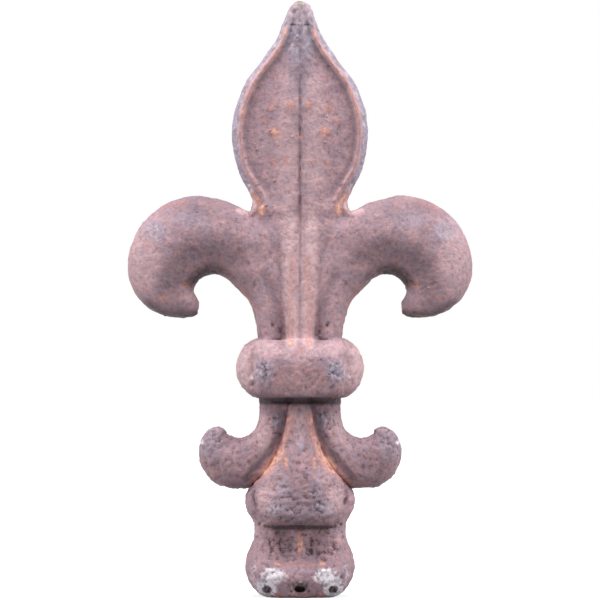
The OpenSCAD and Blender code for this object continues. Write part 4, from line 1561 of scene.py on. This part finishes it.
    def dress(self, work: bpy.types.Object, material: bpy.types.Material) -> None:
        """Roughens the skin with the Geometry Nodes tree and gives it its finish.

        Args:
            work: The marked casting.
            material: Its finish.
        """
        tree, values = self.skin.tree()
        rough = work.modifiers.new("cast skin", "NODES")
        rough.node_group = tree
        for item in tree.interface.items_tree:
            if item.in_out == "INPUT" and item.name in values:
                rough[item.identifier] = values[item.name]
            elif item.in_out == "INPUT" and item.name == "Finish":
                rough[item.identifier] = material
        plain = work.data
        work.data = evaluated(work)
        work.modifiers.clear()
        bpy.data.meshes.remove(plain)

    def build(self) -> bpy.types.Object:
        """Makes the finished casting.

        Returns:
            The object, inside the box of the node that it replaces.
        """
        work = self.smooth(self.cage())
        self.soften(work)
        self.press(work)
        self.bore_pits(work)
        self.mark(work)
        self.dress(work, self.finish.build())
        low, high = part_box(NODE)
        co = np.clip(coordinates(work.data), np.array(low), np.array(high))
        work.data.vertices.foreach_set("co", co.astype(np.float32).ravel())
        work.data.update()
        work.data.name = work.name
        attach(work, BODY)
        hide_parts(NODE)
        return work


def coordinates(mesh: bpy.types.Mesh) -> np.ndarray:
    """Reads the positions of a mesh's points.

    Args:
        mesh: The mesh.

    Returns:
        One row of (x, y, z) for each point.
    """
    co = np.zeros(len(mesh.vertices) * 3, np.float32)
    mesh.vertices.foreach_get("co", co)
    return co.reshape(-1, 3).astype(float)


def evaluated(work: bpy.types.Object) -> bpy.types.Mesh:
    """Makes a plain mesh of an object with its modifiers applied.

    Args:
        work: The object.

    Returns:
        A new mesh that keeps the attributes.
    """
    graph = bpy.context.evaluated_depsgraph_get()
    graph.update()
    ready = work.evaluated_get(graph)
    return bpy.data.meshes.new_from_object(ready, preserve_all_data_layers=True, depsgraph=graph)


def surface_front(points: np.ndarray, x: float, z: float) -> float:
    """Front surface's Y at a place on the face, from the nearest points, in the points' unit."""
    near = np.hypot(points[:, 0] - x, points[:, 2] - z) < 1.0
    return float(points[near & (points[:, 1] < 0), 1].mean())


# Floor, light and camera
@dataclass(frozen=True)
class Studio:
    """Pale floor, soft lamps above and on both sides, and the level camera."""

    view_width: float = 0.16611
    centre_z: float = 0.08209
    distance: float = 1.6
    world: float = 0.2
    top: float = 12.0
    side: float = 6.0

    def lamp(self, name: str, place: Sequence[float], size: float, watts: float) -> None:
        """Adds a soft square lamp that faces the casting.

        Args:
            name: Name of the lamp.
            place: Its position in metres.
            size: Side of the square.
            watts: Its power.
        """
        data = bpy.data.lights.new(name, "AREA")
        data.size, data.energy = size, watts
        lamp = bpy.data.objects.new(name, data)
        lamp.location = place
        aim = Vector((0, 0, self.centre_z)) - Vector(place)
        lamp.rotation_euler = aim.to_track_quat("-Z", "Y").to_euler()
        bpy.context.scene.collection.objects.link(lamp)

    def seen(self, tree: bpy.types.NodeTree) -> bpy.types.NodeSocket:
        """Tells the camera's own rays, also by gloss or through glass, from the light's.

        Args:
            tree: Node tree that uses the factor.

        Returns:
            Socket that is 1 for those rays and 0 for all others.
        """
        path = add_node(tree, "ShaderNodeLightPath").outputs
        factor = path["Is Camera Ray"]
        for kind in ("Is Glossy Ray", "Is Transmission Ray"):
            inputs = {0: factor, 1: path[kind]}
            factor = add_node(tree, "ShaderNodeMath", inputs, operation="MAXIMUM").outputs[0]
        return factor

    def build(self) -> None:
        """Sets the world, the floor, the lamps and the camera."""
        scene = bpy.context.scene
        scene.view_settings.view_transform = "Standard"
        world = bpy.data.worlds.new("studio")
        scene.world = world
        world.use_nodes = True
        tree = world.node_tree
        tree.nodes.clear()
        level = add_node(
            tree, "ShaderNodeMix", {0: self.seen(tree), 2: self.world, 3: 1.0}, data_type="FLOAT"
        ).outputs[0]
        sky = add_node(tree, "ShaderNodeBackground", {"Color": (1, 1, 1, 1), "Strength": level})
        add_node(tree, "ShaderNodeOutputWorld", {"Surface": sky.outputs[0]})

        mesh = bpy.data.meshes.new("studio_floor")
        mesh.from_pydata([(-3, -3, 0), (3, -3, 0), (3, 3, 0), (-3, 3, 0)], [], [(0, 1, 2, 3)])
        floor = bpy.data.objects.new("studio_floor", mesh)
        scene.collection.objects.link(floor)
        paper = bpy.data.materials.new("pale_backdrop_paper")
        paper.use_nodes = True
        tree = paper.node_tree
        tree.nodes.clear()
        seen = self.seen(tree)
        paper_tone = add_node(
            tree, "ShaderNodeMix", {0: seen, 6: linear("a0a0a0"), 7: linear("e6e6e6")}, data_type="RGBA"
        ).outputs[2]
        matt = add_node(tree, "ShaderNodeBsdfDiffuse", {"Color": paper_tone}).outputs[0]
        place = add_node(tree, "ShaderNodeTexCoord").outputs["Object"]
        away = add_node(tree, "ShaderNodeVectorMath", {0: place}, operation="LENGTH").outputs["Value"]
        lift = add_node(
            tree, "ShaderNodeMapRange",
            {"Value": away, "From Min": 0.05, "From Max": 0.6, "To Min": 0.62, "To Max": 0.9},
        ).outputs["Result"]
        strength = add_node(tree, "ShaderNodeMath", {0: seen, 1: lift}, operation="MULTIPLY").outputs[0]
        glow = add_node(tree, "ShaderNodeEmission", {"Strength": strength}).outputs[0]
        both = add_node(tree, "ShaderNodeAddShader", {0: matt, 1: glow}).outputs[0]
        add_node(tree, "ShaderNodeOutputMaterial", {"Surface": both})
        mesh.materials.append(paper)

        self.lamp("lamp_top", (0.0, -0.28, 1.0), 0.7, self.top)
        self.lamp("lamp_left", (-0.95, -0.2, 0.42), 0.6, self.side)
        self.lamp("lamp_right", (0.95, -0.2, 0.42), 0.6, self.side)

        data = bpy.data.cameras.new("camera")
        data.sensor_width = 36.0
        data.lens = data.sensor_width * self.distance / self.view_width
        data.clip_start, data.clip_end = 0.05, 20.0
        camera = bpy.data.objects.new("camera", data)
        camera.location = (0.0, -self.distance, self.centre_z)
        camera.rotation_euler = (math.radians(90), 0.0, 0.0)
        scene.collection.objects.link(camera)
        scene.camera = camera


def main() -> None:
    """Builds the casting and the studio, and reports each piece."""
    casting = Casting().build()
    mesh = casting.data
    mesh.calc_loop_triangles()
    counts = len(mesh.vertices), len(mesh.loop_triangles)
    LOG.info("%s: %d points, %d triangles", casting.name, *counts)
    Studio().build()


if __name__ == "__main__":
    main()
